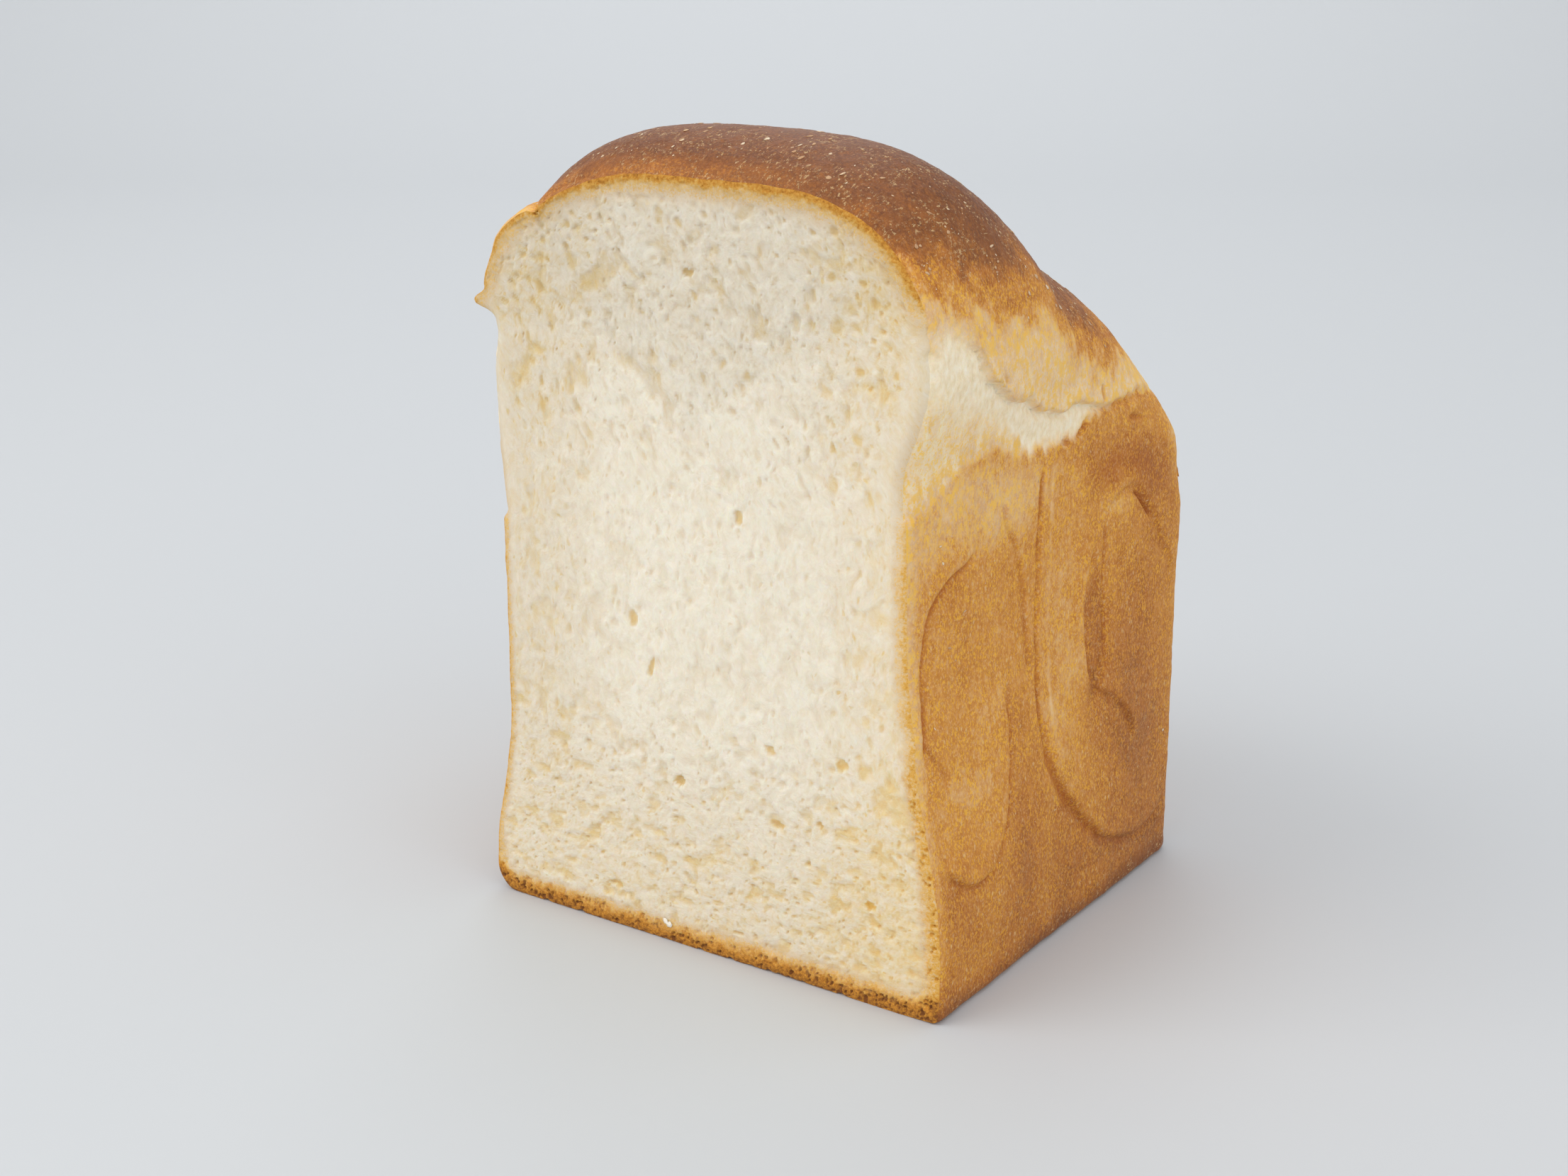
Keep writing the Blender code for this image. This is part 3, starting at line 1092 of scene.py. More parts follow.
@dataclass(frozen=True)
class CrumbRelief:
    """The crumb's pores. They stand upright at mid height, lean at the top and lie flat near the foot."""

    holes: tuple[Hole, ...] = (
        Hole(-24.6, 147.0, 3.6, 2.6, 0.5, 20),
        Hole(-27.2, 145.6, 3.9, 2.2, 0.5, 22),
        Hole(-22.0, 148.2, 3.0, 1.9, 0.5, 42),
        Hole(-51.8, 146.4, 0.35, 2.1, 0.7, -18),
        Hole(-2.0, 150.0, 1.4, 1.0, 1.2),
        Hole(10.3, 101.0, 1.3, 1.6, 0.9),
        Hole(-18.0, 74.0, 1.3, 1.9, 0.9),
        Hole(-13.2, 64.0, 0.9, 2.4, 1.0, -12),
        Hole(-5.8, 39.0, 1.5, 1.2, 1.5, 30),
        Hole(19.2, 34.8, 1.6, 0.8, 1.4),
        Hole(30.2, 37.6, 0.8, 0.7, 1.0),
        Hole(35.5, 52.0, 1.4, 1.5, 0.8),
        Hole(42.6, 22.8, 1.5, 1.0, 1.0, -20),
        Hole(-24.0, 10.2, 2.2, 0.9, 0.9),
        Hole(27.5, 28.0, 0.8, 0.5, 1.0),
        Hole(9.0, 7.2, 1.5, 0.6, 0.9),
        Hole(18.0, 51.4, 1.6, 0.9, 0.8, -25),
    )

    def weave(self, x: Array, z: Array) -> tuple[Array, Array]:
        """Coordinates in which every pore is round: bent by noise, and squeezed along the grain.

        Args:
            x: the points' X.
            z: the points' Z.

        Returns:
            The bent X and Z.
        """
        bent_x = x + 1.3 * Chance(81).smooth([x, z], 8.0, 2) + 0.35 * Chance(83).smooth([x, z], 1.6)
        bent_z = z + 1.3 * Chance(82).smooth([x, z], 8.0, 2) + 0.35 * Chance(84).smooth([x, z], 1.6)
        heights = np.linspace(-10.0, 190.0, 400)
        stretch = mix(0.62, 1.6, smooth_step(heights, 28.0, 72.0))
        stretch = mix(stretch, 1.15, smooth_step(heights, 120.0, 145.0))
        upright = np.interp(bent_z, heights, np.cumsum(0.5013 / stretch))
        return bent_x + 0.25 * np.maximum(z - 105.0, 0.0), upright

    def surface(self, x: Array, z: Array, rind: Array) -> tuple[Array, Array]:
        """The depth of the pores.

        Bowls of three sizes are scattered over a wavy ground. Most are shallow and a few are deep. Between
        them the ground is torn into low flakes: noise cut into terraces, each with a steep edge.

        Args:
            x: the points' X.
            z: the points' Z.
            rind: 1 at the crust and 0 inside, where the crumb is open.

        Returns:
            Depth in millimetres, and how much painted shade each point gets as part of a pore, from 0 to 1.
        """
        along_x, along_z = self.weave(x, z)
        open_crumb = mix(0.75, 1.0, smooth_step(z, 20.0, 75.0))
        strength = 0.62 + 0.38 * smooth_step(z, 90.0, 130.0) + 0.40 * smooth_step(z, 62.0, 34.0)
        depth = np.zeros(x.shape)
        pore_shade = np.zeros(x.shape)
        for size, smallest, largest, deepest, share, seed in (
            (5.2, -0.40, 0.38, 0.42, 0.50, 91),
            (2.9, -0.20, 0.50, 0.45, 0.62, 92),
            (1.7, -0.12, 0.50, 0.22, 0.42, 93),
        ):
            spot = Chance(seed).spots(along_x / size, along_z / size, smallest, largest * open_crumb)
            bowl = smooth_step(spot, 0.0, 0.75)
            depth = np.maximum(depth, deepest * bowl)
            # painted shade in each bowl
            pore_shade = np.maximum(pore_shade, share * bowl)

        hollow = smooth_step(Chance(94).smooth([along_x, along_z], [3.4, 3.4], 4), 0.0, 0.55)
        depth += 0.42 * hollow
        # painted shade in the hollows
        pore_shade = np.maximum(pore_shade, 0.46 * hollow)
        flow = Chance(97).smooth([along_x, along_z], [3.0, 3.2], 3) * 2.6
        step = flow - np.floor(flow)
        terrace = np.floor(flow) + smooth_step(step, 0.45, 1.0)
        depth += 0.10 * (terrace - terrace.mean())
        # painted shade at the foot of each terrace's edge
        pore_shade = np.maximum(pore_shade, 0.25 * smooth_step(step, 0.45, 0.0))
        wobble_x = 0.8 * Chance(85).smooth([x, z], 2.2, 3)
        wobble_z = 0.8 * Chance(86).smooth([x, z], 2.2, 3)
        depth *= 0.84 * strength
        pore_shade *= strength
        for hole in self.holes:
            bowl = hole.bowl(x + wobble_x, z + wobble_z)
            depth = np.maximum(depth, 0.7 * bowl + 0.3 * depth)
            # warm painted shade in the larger holes
            pore_shade = np.maximum(pore_shade, np.minimum(1.2 * bowl, 0.85))
        wave = 0.35 * Chance(95).smooth([x, z], [18.0, 26.0], 2)
        grain = 0.19 * Chance(96).smooth([along_x, along_z], [1.4, 1.4], 2)
        pulled = smooth_step(z, 45.0, 80.0) * smooth_step(z, 140.0, 110.0)
        grain += 0.10 * pulled * Chance(98).smooth([along_x, along_z], [1.6, 3.4], 2)
        inside = 1.0 - smooth_step(rind, 0.15, 0.9)
        return (depth + grain) * inside + wave * smooth_step(rind, 0.6, 0.0), pore_shade * inside


# ---- Finishes ----


def colour(red: int, green: int, blue: int) -> Colour:
    """A display colour, 0 to 255, as the linear values that a shader takes.

    Args:
        red: red, 0 to 255.
        green: green, 0 to 255.
        blue: blue, 0 to 255.

    Returns:
        Linear red, green, blue and an alpha of 1.
    """
    share = np.array([red, green, blue]) / 255.0
    linear = np.where(share <= 0.04045, share / 12.92, ((share + 0.055) / 1.055) ** 2.4)
    return (*linear.tolist(), 1.0)


class Shader:
    """A material's node tree, built by short calls."""

    def __init__(self, name: str) -> None:
        """Makes a new material with its Principled shader and Object coordinates.

        Args:
            name: the material's name.
        """
        self.material = bpy.data.materials.new(name)
        self.material.use_nodes = True
        self.tree = self.material.node_tree
        self.principled = self.tree.nodes["Principled BSDF"]
        self.place = self.tree.nodes.new("ShaderNodeTexCoord").outputs["Object"]

    def node(self, kind: str, **inputs: object) -> bpy.types.Node:
        """Adds a node.

        Args:
            kind: the node's type name after "ShaderNode".
            **inputs: socket names, with _ for spaces, and what goes in: a value or another node's output.

        Returns:
            The node.
        """
        made = self.tree.nodes.new("ShaderNode" + kind)
        for name, value in inputs.items():
            self.plug(made.inputs[name.replace("_", " ")], value)
        return made

    def plug(self, socket: Socket, value: object) -> None:
        """Links an output to a socket, or sets the socket's value.

        Args:
            socket: an input.
            value: an output or a value.
        """
        if isinstance(value, Socket):
            self.tree.links.new(value, socket)
        else:
            socket.default_value = value

    def finish(self, **inputs: object) -> None:
        """Sets or links the Principled shader's sockets, named as for a node."""
        for name, value in inputs.items():
            self.plug(self.principled.inputs[name.replace("_", " ")], value)

    def field(self, name: str) -> Socket:
        """The named field stored on the mesh, as a number."""
        node = self.node("Attribute")
        node.attribute_name = name
        return node.outputs["Fac"]

    def places(self, name: str) -> Socket:
        """The named coordinates stored on the mesh."""
        node = self.node("Attribute")
        node.attribute_name = name
        return node.outputs["Vector"]

    def sums(self, operation: str, *values: object, clamp: bool = False) -> Socket:
        """Arithmetic on one to three values.

        Args:
            operation: the Math node's operation.
            *values: numbers or outputs.
            clamp: keeps the result from 0 to 1.

        Returns:
            The result.
        """
        node = self.node("Math")
        node.operation = operation
        node.use_clamp = clamp
        for socket, value in zip(node.inputs, values):
            self.plug(socket, value)
        return node.outputs[0]

    def times(self, first: object, second: object) -> Socket:
        """The product of two values."""
        return self.sums("MULTIPLY", first, second)

    def scaled(self, value: object, factor: object, offset: object, clamp: bool = False) -> Socket:
        """A value times a factor, plus an offset."""
        return self.sums("MULTIPLY_ADD", value, factor, offset, clamp=clamp)

    def plus(self, first: object, second: object, clamp: bool = False) -> Socket:
        """The sum of two values."""
        return self.sums("ADD", first, second, clamp=clamp)

    def minus(self, first: object, second: object) -> Socket:
        """The first value less the second."""
        return self.sums("SUBTRACT", first, second)

    def larger(self, first: object, second: object) -> Socket:
        """The larger of two values."""
        return self.sums("MAXIMUM", first, second)

    def rise(self, value: object, low: float, high: float, start: float = 0.0, end: float = 1.0) -> Socket:
        """Maps low to high onto start to end, smoothly and clamped.

        Args:
            value: what is mapped.
            low: where the rise starts.
            high: where it ends.
            start: what low becomes.
            end: what high becomes.

        Returns:
            The mapped value.
        """
        node = self.node("MapRange")
        node.interpolation_type = "SMOOTHSTEP"
        names = ("Value", "From Min", "From Max", "To Min", "To Max")
        for name, item in zip(names, (value, low, high, start, end)):
            self.plug(node.inputs[name], item)
        return node.outputs[0]

    def stretched(self, scale: tuple[float, float, float]) -> Socket:
        """Object coordinates multiplied along each axis, for patterns that run one way."""
        node = self.node("Mapping", Vector=self.place)
        node.inputs["Scale"].default_value = scale
        return node.outputs[0]

    def noise(
        self, size_mm: float, detail: float = 2.0, vector: object = None, roughness: float = 0.5
    ) -> Socket:
        """Smooth noise with features of about that size, from 0 to 1.

        Args:
            size_mm: the features' size.
            detail: how many finer copies are added.
            vector: the coordinates, or None for plain Object coordinates.
            roughness: how strong those are.

        Returns:
            The noise.
        """
        place = self.place if vector is None else vector
        scale = 1.0 / (size_mm * MM)
        node = self.node("TexNoise", Vector=place, Scale=scale, Detail=detail, Roughness=roughness)
        return node.outputs["Fac"]

    def specks(self, size_mm: float, vector: object = None) -> tuple[Socket, Socket]:
        """Scattered centres about that far apart.

        Args:
            size_mm: the usual distance between centres.
            vector: the coordinates, or None for plain Object coordinates.

        Returns:
            The distance to the nearest centre in units of the spacing, and a random colour for each.
        """
        place = self.place if vector is None else vector
        node = self.node("TexVoronoi", Vector=place, Scale=1.0 / (size_mm * MM))
        return node.outputs["Distance"], node.outputs["Color"]

    def flecks(self, size_mm: float, scale: tuple[float, float, float], radius: float) -> Socket:
        """Soft flecks of unlike strength: 1 in the middle of the strongest and 0 outside."""
        distance, pick = self.specks(size_mm, self.stretched(scale))
        strength = self.rise(self.node("SeparateColor", Color=pick).outputs[0], 0.35, 1.0)
        return self.times(self.rise(distance, radius, 0.3 * radius), strength)

    def small_pores(self, vector: object, size_mm: float, radius: float) -> Socket:
        """Pits of many sizes: 1 in a pit and 0 outside. A random number sets each pit's reach.

        Args:
            vector: the coordinates, or None for plain Object coordinates.
            size_mm: the pits' spacing.
            radius: the usual reach, in spacings.

        Returns:
            The pits.
        """
        distance, pick = self.specks(size_mm, vector)
        reach = self.node("SeparateColor", Color=pick).outputs[1]
        reach = self.scaled(self.times(reach, reach), 1.6 * radius, -0.1 * radius)
        return self.rise(self.minus(reach, distance), -0.04, 0.18)

    def ramp(self, value: object, stops: Stops) -> Socket:
        """Colours along a value, one for each stop.

        Args:
            value: the value.
            stops: places on the ramp, and display colours.

        Returns:
            The colour.
        """
        node = self.node("ValToRGB", Fac=value)
        elements = node.color_ramp.elements
        while len(elements) < len(stops):
            elements.new(0.5)
        for element, (position, tint) in zip(elements, stops):
            element.position = position
            element.color = colour(*tint)
        return node.outputs[0]

    def blend(self, first: object, second: object, share: object, mode: str = "MIX") -> Socket:
        """Goes from one colour to another by a share.

        Args:
            first: the first colour.
            second: the second colour.
            share: 0 for the first and 1 for the second.
            mode: the Mix node's mode.

        Returns:
            The colour.
        """
        node = self.node("Mix")
        node.data_type = "RGBA"
        node.blend_type = mode
        node.clamp_result = False
        self.plug(node.inputs["Factor"], share)
        self.plug(node.inputs[6], first)
        self.plug(node.inputs[7], second)
        return node.outputs[2]

    def bump(self, height: object, depth_mm: float, strength: float = 1.0, normal: object = None) -> Socket:
        """Fine relief of that depth for a height from 0 to 1.

        Args:
            height: the height, from 0 to 1.
            depth_mm: how deep it is.
            strength: how much of it shows.
            normal: the normal under it, if any.

        Returns:
            The normal.
        """
        node = self.node("Bump", Height=height, Distance=depth_mm * MM, Strength=strength)
        if normal is not None:
            self.plug(node.inputs["Normal"], normal)
        return node.outputs[0]


@dataclass(frozen=True)
class CrustFinish:
    """Baked crust: its colour follows the bake, and torn places show crumb."""

    name: str = "baked_crust"
    gloss: float = 0.46  # roughness of the brown domes
    pale_stops: Stops = (
        (0.10, (250, 224, 190)), (0.50, (232, 188, 132)), (0.85, (192, 140, 96)),
    )
    yellow_stops: Stops = (
        (0.10, (252, 206, 98)), (0.50, (238, 178, 58)), (0.85, (206, 130, 44)),
    )
    stops: Stops = (
        (0.00, (248, 230, 192)), (0.18, (240, 210, 168)), (0.34, (228, 182, 126)),
        (0.50, (206, 138, 62)), (0.66, (178, 107, 41)), (0.82, (142, 82, 32)), (1.00, (110, 60, 26)),
    )
    crumb_stops: Stops = ((0.25, (236, 214, 173)), (0.5, (248, 230, 197)), (0.8, (254, 244, 222)))

    def make(self) -> bpy.types.Material:
        """Builds the material.

        Returns:
            The material. Mottling shifts the bake, specks and pale flecks lie over it, and strands and the
            creases' painted shade and tint are blended in by the fields on the mesh.
        """
        shader = Shader(self.name)
        bake, torn, crease_shade_and_tint = (shader.field(name) for name in ("bake", "torn", "crease_shade_and_tint"))
        upright = shader.stretched((1.0, 1.0, 0.7))
        cloud = shader.noise(7.0, 4.0, roughness=0.6)
        mottle = shader.noise(1.5, 3.0, upright, 0.65)
        fine = shader.noise(0.42, 2.0, upright, 0.6)
        shift = shader.scaled(cloud, 0.24, -0.12)
        shift = shader.plus(shift, shader.scaled(mottle, 0.36, -0.18))
        # painted shade from the creases darkens the bake, and their paler lines lighten it
        level = shader.plus(shader.scaled(crease_shade_and_tint, 0.15, bake), shift, clamp=True)
        tint = shader.ramp(level, self.stops)
        tint = self._flour(shader, tint, bake, fine)
        tint = self._thin_skin(shader, tint, bake)
        fleck = self._specks(shader, bake)
        tint = shader.blend(tint, colour(232, 196, 142), shader.times(fleck, 0.60))

        # crease marks are painted a warmer brown, with no flecks: mostly painted shade, in grooves, tears
        # and under the domes' edge
        tint = shader.blend(tint, colour(176, 98, 36), shader.rise(crease_shade_and_tint, 0.05, 1.0, 0.0, 0.65))
        crumb_grain = shader.noise(1.2, 3.0, shader.stretched((1.0, 1.0, 0.65)))
        tint = shader.blend(tint, shader.ramp(crumb_grain, self.crumb_stops), torn)

        rough = shader.rise(bake, 0.5, 0.9, 0.74, self.gloss)
        rough = shader.scaled(mottle, 0.16, shader.plus(rough, -0.08))
        rough = shader.scaled(torn, 0.3, rough, clamp=True)
        pits = shader.plus(shader.times(fine, 0.7), shader.times(mottle, 0.9))
        pits = shader.scaled(fleck, 0.35, pits)
        shader.finish(Base_Color=tint, Roughness=rough, Normal=shader.bump(pits, 0.26, 0.8))
        shader.finish(Specular_IOR_Level=0.27, Subsurface_Weight=0.12)
        shader.finish(Subsurface_Radius=(1.0, 0.5, 0.2), Subsurface_Scale=1.2 * MM)
        return shader.material

    def _flour(self, shader: Shader, tint: Socket, bake: Socket, fine: Socket) -> Socket:
        """Lays fine flour-pale and yellow flecks over the crust, thickest on the walls.

        Args:
            shader: the material's shader.
            tint: the colour so far.
            bake: the bake field.
            fine: the finest noise.

        Returns:
            The colour.
        """
        wall_share = shader.rise(bake, 0.92, 0.62, 0.25, 1.0)
        pale = shader.times(shader.rise(fine, 0.52, 0.66), wall_share)
        tint = shader.blend(tint, shader.ramp(bake, self.pale_stops), shader.times(pale, 0.56))
        yellow = shader.rise(shader.noise(0.7, 3.0, shader.stretched((1.0, 1.2, 0.85)), 0.7), 0.49, 0.59)
        yellow = shader.times(yellow, shader.rise(shader.noise(3.5), 0.30, 0.62, 0.35, 1.0))
        yellow = shader.times(yellow, wall_share)
        return shader.blend(tint, shader.ramp(bake, self.yellow_stops), shader.times(yellow, 0.85))

    @staticmethod
    def _thin_skin(shader: Shader, tint: Socket, bake: Socket) -> Socket:
        """Lays yellow blotches under the domes, and a whitish film of drawn-out skin over them.

        Args:
            shader: the material's shader.
            tint: the colour so far.
            bake: the bake field.

        Returns:
            The colour.
        """
        thin = shader.times(shader.rise(bake, 0.10, 0.20), shader.rise(bake, 0.48, 0.34))
        blotch = shader.noise(1.8, 3.0, shader.stretched((1.0, 1.0, 0.8)), 0.7)
        blotch = shader.times(shader.rise(blotch, 0.47, 0.58), thin)
        tint = shader.blend(tint, colour(246, 194, 78), shader.times(blotch, 0.8))
        drawn = shader.rise(shader.noise(1.0, 3.0, shader.stretched((1.0, 1.0, 0.4)), 0.7), 0.42, 0.62)
        drawn = shader.times(drawn, shader.rise(bake, 0.12, 0.25))
        drawn = shader.times(drawn, shader.rise(bake, 0.46, 0.36))
        return shader.blend(tint, colour(212, 184, 158), shader.times(drawn, 0.32))

    @staticmethod
    def _specks(shader: Shader, bake: Socket) -> Socket:
        """Scattered larger specks: soft flecks on the walls and ragged ones on the domes.

        Args:
            shader: the material's shader.
            bake: the bake field.

        Returns:
            How much of a speck each place is.
        """
        on_dome = shader.rise(bake, 0.60, 0.85)
        wall_fleck = shader.flecks(1.4, (1.0, 1.0, 0.6), 0.30)
        dome_fleck = shader.rise(shader.noise(0.6, 3.0, shader.stretched((1.0, 0.5, 0.8)), 0.75), 0.56, 0.63)
        dome_fleck = shader.times(dome_fleck, shader.rise(shader.noise(5.0), 0.35, 0.58))
        fleck = shader.times(wall_fleck, shader.minus(1.0, on_dome))
        return shader.plus(fleck, shader.times(dome_fleck, on_dome))


@dataclass(frozen=True)
class CrumbFinish:
    """Open white crumb, with the cut crust as a thin browned line around it."""

    name: str = "crumb"
    stops: Stops = (
        (0.00, (249, 240, 221)), (0.30, (240, 226, 201)), (0.60, (236, 210, 158)),
        (1.00, (234, 188, 100)),
    )
    crust_stops: Stops = (
        (0.00, (232, 202, 158)), (0.30, (232, 178, 86)), (0.60, (212, 144, 52)), (1.00, (132, 80, 38)),
    )

    def make(self) -> bpy.types.Material:
        """Builds the material.

        Returns:
            The material. Pores are darker and warmer than the walls between them, as painted shade, and the
            rind field turns the crumb into cut crust at the outline.
        """
        shader = Shader(self.name)
        names = ("pore_shade", "rind", "fringe", "toast", "tone")
        pore_shade, rind, fringe, toast, tone = (shader.field(name) for name in names)
        bent = self._bent_weave(shader)

        # pores too small for the mesh, in two sizes: painted shade in the colour, and dents in the bump
        inside = shader.times(shader.rise(fringe, 0.6, 0.1), shader.rise(pore_shade, 0.95, 0.78))
        pits = shader.small_pores(bent, 1.4, 0.30)
        pits = shader.larger(pits, shader.times(shader.small_pores(bent, 0.8, 0.25), 0.6))
        pits = shader.times(pits, inside)
        both = shader.larger(pore_shade, shader.times(pits, 0.45))

        grain = shader.noise(0.8, 3.0, bent, 0.6)
        cloud = shader.noise(5.0, 4.0, bent)
        clump = shader.noise(2.4, 2.0, bent)
        lit = shader.scaled(grain, 0.42, shader.scaled(cloud, 0.40, -0.54))
        lit = shader.plus(shader.scaled(clump, 0.35, lit), tone)
        # painted shade: pores and pits push the crumb towards the ramp's darker, warmer end
        tint = shader.ramp(shader.scaled(both, 0.66, lit, clamp=True), self.stops)

        crust_grain = shader.noise(0.7, 3.0, None, 0.7)
        tint = self._cut_crust(shader, tint, crust_grain, (fringe, rind, toast))
        # painted shade: the crumb is blended towards black, a little everywhere, more at the left and most
        # at the top, where less light falls
        tint = shader.blend(tint, colour(0, 0, 0), shader.field("painted_shade"))
        tiny = shader.noise(0.4, 2.0, bent)
        relief = shader.plus(shader.times(tiny, 0.35), shader.times(grain, 0.6))
        relief = shader.minus(relief, shader.times(pits, 0.4))
        relief = shader.plus(relief, shader.times(shader.times(crust_grain, rind), 2.0))
        shader.finish(Base_Color=tint, Roughness=0.85, Normal=shader.bump(relief, 0.24, 0.65))
        glow = shader.rise(shader.field("deep"), 0.0, 1.0, 0.0, 0.7)
        shader.finish(Specular_IOR_Level=0.25, Subsurface_Weight=glow)
        shader.finish(Subsurface_Radius=(1.0, 0.75, 0.48), Subsurface_Scale=2.4 * MM)
        return shader.material

    @staticmethod
    def _bent_weave(shader: Shader) -> Socket:
        """The coordinates stored on the mesh, bent a little more, so that no pore is quite round.

        Args:
            shader: the material's shader.

        Returns:
            The coordinates.
        """
        weave = shader.places("weave")
        bend = shader.node("TexNoise", Vector=weave, Scale=1.0 / (0.9 * MM), Detail=2.0).outputs["Color"]
        bend = shader.node("VectorMath", Vector=bend)
        bend.operation = "SCALE"
        bend.inputs["Scale"].default_value = 0.6 * MM
        bent = shader.node("VectorMath", Vector=weave)
        bent.operation = "ADD"
        shader.plug(bent.inputs[1], bend.outputs[0])
        return bent.outputs[0]

    def _cut_crust(
        self, shader: Shader, tint: Socket, grain: Socket, fields: tuple[Socket, Socket, Socket]
    ) -> Socket:
        """Lays the cut crust at the outline, and a warm fringe with yellow flecks before it.

        Args:
            shader: the material's shader.
            tint: the crumb's colour.
            grain: the crust's fine noise.
            fields: how near the crust each point is, how much crust it is, and how brown.

        Returns:
            The colour.
        """
        fringe, rind, toast = fields
        level = shader.plus(toast, shader.scaled(grain, 1.3, -0.70), clamp=True)
        baked = shader.ramp(level, self.crust_stops)
        flecked = shader.scaled(shader.noise(0.5, 3.0, None, 0.7), 1.8, -1.0)
        flecked = shader.plus(fringe, shader.times(flecked, shader.rise(fringe, 0.0, 0.3)))
        warm = shader.blend(tint, colour(228, 200, 162), shader.rise(fringe, 0.0, 1.0, 0.0, 0.85))
        warm = shader.blend(warm, colour(240, 194, 102), shader.rise(flecked, 0.50, 1.0, 0.0, 0.85))
        return shader.blend(warm, baked, rind)


@dataclass(frozen=True)
class FlakeFinish:
    """Thin dry flakes, from tan to nearly white."""

    name: str = "flakes"
    stops: Stops = (
        (0.0, (188, 142, 100)), (0.5, (214, 176, 134)), (0.9, (238, 220, 190)), (1.0, (250, 242, 226))
    )

    def make(self) -> bpy.types.Material:
        """Builds the material: each flake's own shade, a little mottled."""
        shader = Shader(self.name)
        level = shader.scaled(shader.noise(0.5), 0.4, shader.plus(shader.field("shade"), -0.2))
        shader.finish(Base_Color=shader.ramp(level, self.stops), Roughness=0.6)
        return shader.material


# ---- Pieces ----


def grid_faces(numbers: Array) -> Array:
    """Four-cornered faces over grids of point numbers, turned by the last two axes."""
    corners = (numbers[..., :-1, :-1], numbers[..., 1:, :-1], numbers[..., 1:, 1:], numbers[..., :-1, 1:])
    return np.stack(corners, axis=-1).reshape(-1, 4)


def point_normals(points: Array, faces: Array) -> Array:
    """Normals at points: the sum of the neighbouring faces' normals, each as long as its face is large.

    Args:
        points: the points, one row each.
        faces: the faces, four point numbers each.

    Returns:
        Unit normals, one row each.
    """
    corners = points[faces]
    of_faces = np.cross(corners[:, 2] - corners[:, 0], corners[:, 3] - corners[:, 1])
    total = np.zeros_like(points)
    for axis in range(3):
        weights = np.repeat(of_faces[:, axis], 4)
        total[:, axis] = np.bincount(faces.ravel(), weights, minlength=len(points))
    return total / np.maximum(np.linalg.norm(total, axis=1, keepdims=True), 1e-12)


def join_normals(sheets: tuple[tuple[Array, Array], tuple[Array, Array]], share: Array) -> None:
    """Turns the normals along an edge that two sheets share towards their mean, in place.

    Args:
        sheets: for each sheet, all its normals and the numbers of the edge's points.
        share: how far each of the edge's points turns, from 0 to 1.
    """
    (first, on_first), (second, on_second) = sheets
    joined = mix(first[on_first], second[on_second], 0.5)
    joined /= np.linalg.norm(joined, axis=1, keepdims=True)
    for normals, numbers in sheets:
        normals[numbers] = mix(normals[numbers], joined, share)
        normals[numbers] /= np.linalg.norm(normals[numbers], axis=1, keepdims=True)


@dataclass
class Sheet:
    """One side's mesh before it becomes an object: points in millimetres, faces, normals and fields."""

    name: str
    points: Array
    faces: Array
    normals: Array | None
    fields: dict[str, Array]

    def make(self, material: bpy.types.Material, length: float, slot: str) -> bpy.types.Object:
        """Makes the piece and ties it to the frame.

        Args:
            material: its finish.
            length: the loaf's length, whose middle is at Y 0 in the frame.
            slot: the material slot that the piece belongs to; not used.

        Returns:
            The piece, at the origin.
        """
        mesh = bpy.data.meshes.new(self.name)
        places = (self.points - [0.0, length / 2.0, 0.0]) * MM
        mesh.vertices.add(len(places))
        mesh.vertices.foreach_set("co", places.ravel())
        mesh.loops.add(self.faces.size)
        mesh.loops.foreach_set("vertex_index", self.faces.ravel().astype(np.int32))
        mesh.polygons.add(len(self.faces))
        corners = self.faces.shape[1]
        mesh.polygons.foreach_set("loop_start", np.arange(0, self.faces.size, corners, dtype=np.int32))
        mesh.update(calc_edges=True)
        mesh.shade_smooth()
        for name, values in self.fields.items():
            kind, key = ("FLOAT", "value") if values.ndim == 1 else ("FLOAT_VECTOR", "vector")
            mesh.attributes.new(name, kind, "POINT").data.foreach_set(key, values.astype(np.float32).ravel())
        if self.normals is not None:
            mesh.normals_split_custom_set_from_vertices(self.normals)
        mesh.materials.append(material)
        piece = bpy.data.objects.new(self.name, mesh)
        bpy.context.scene.collection.objects.link(piece)
        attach(piece, "root")
        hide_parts("loaf")
        LOG.info("%s: %d points, %d triangles", self.name, len(places), (corners - 2) * len(self.faces))
        return piece


@dataclass(frozen=True)
class JoinedCrust:
    """The crust's five sides joined into one surface."""

    keys: Array
    points: Array
    normals: Array
    surface: CrustSurface
    grids: dict[Side, Array]


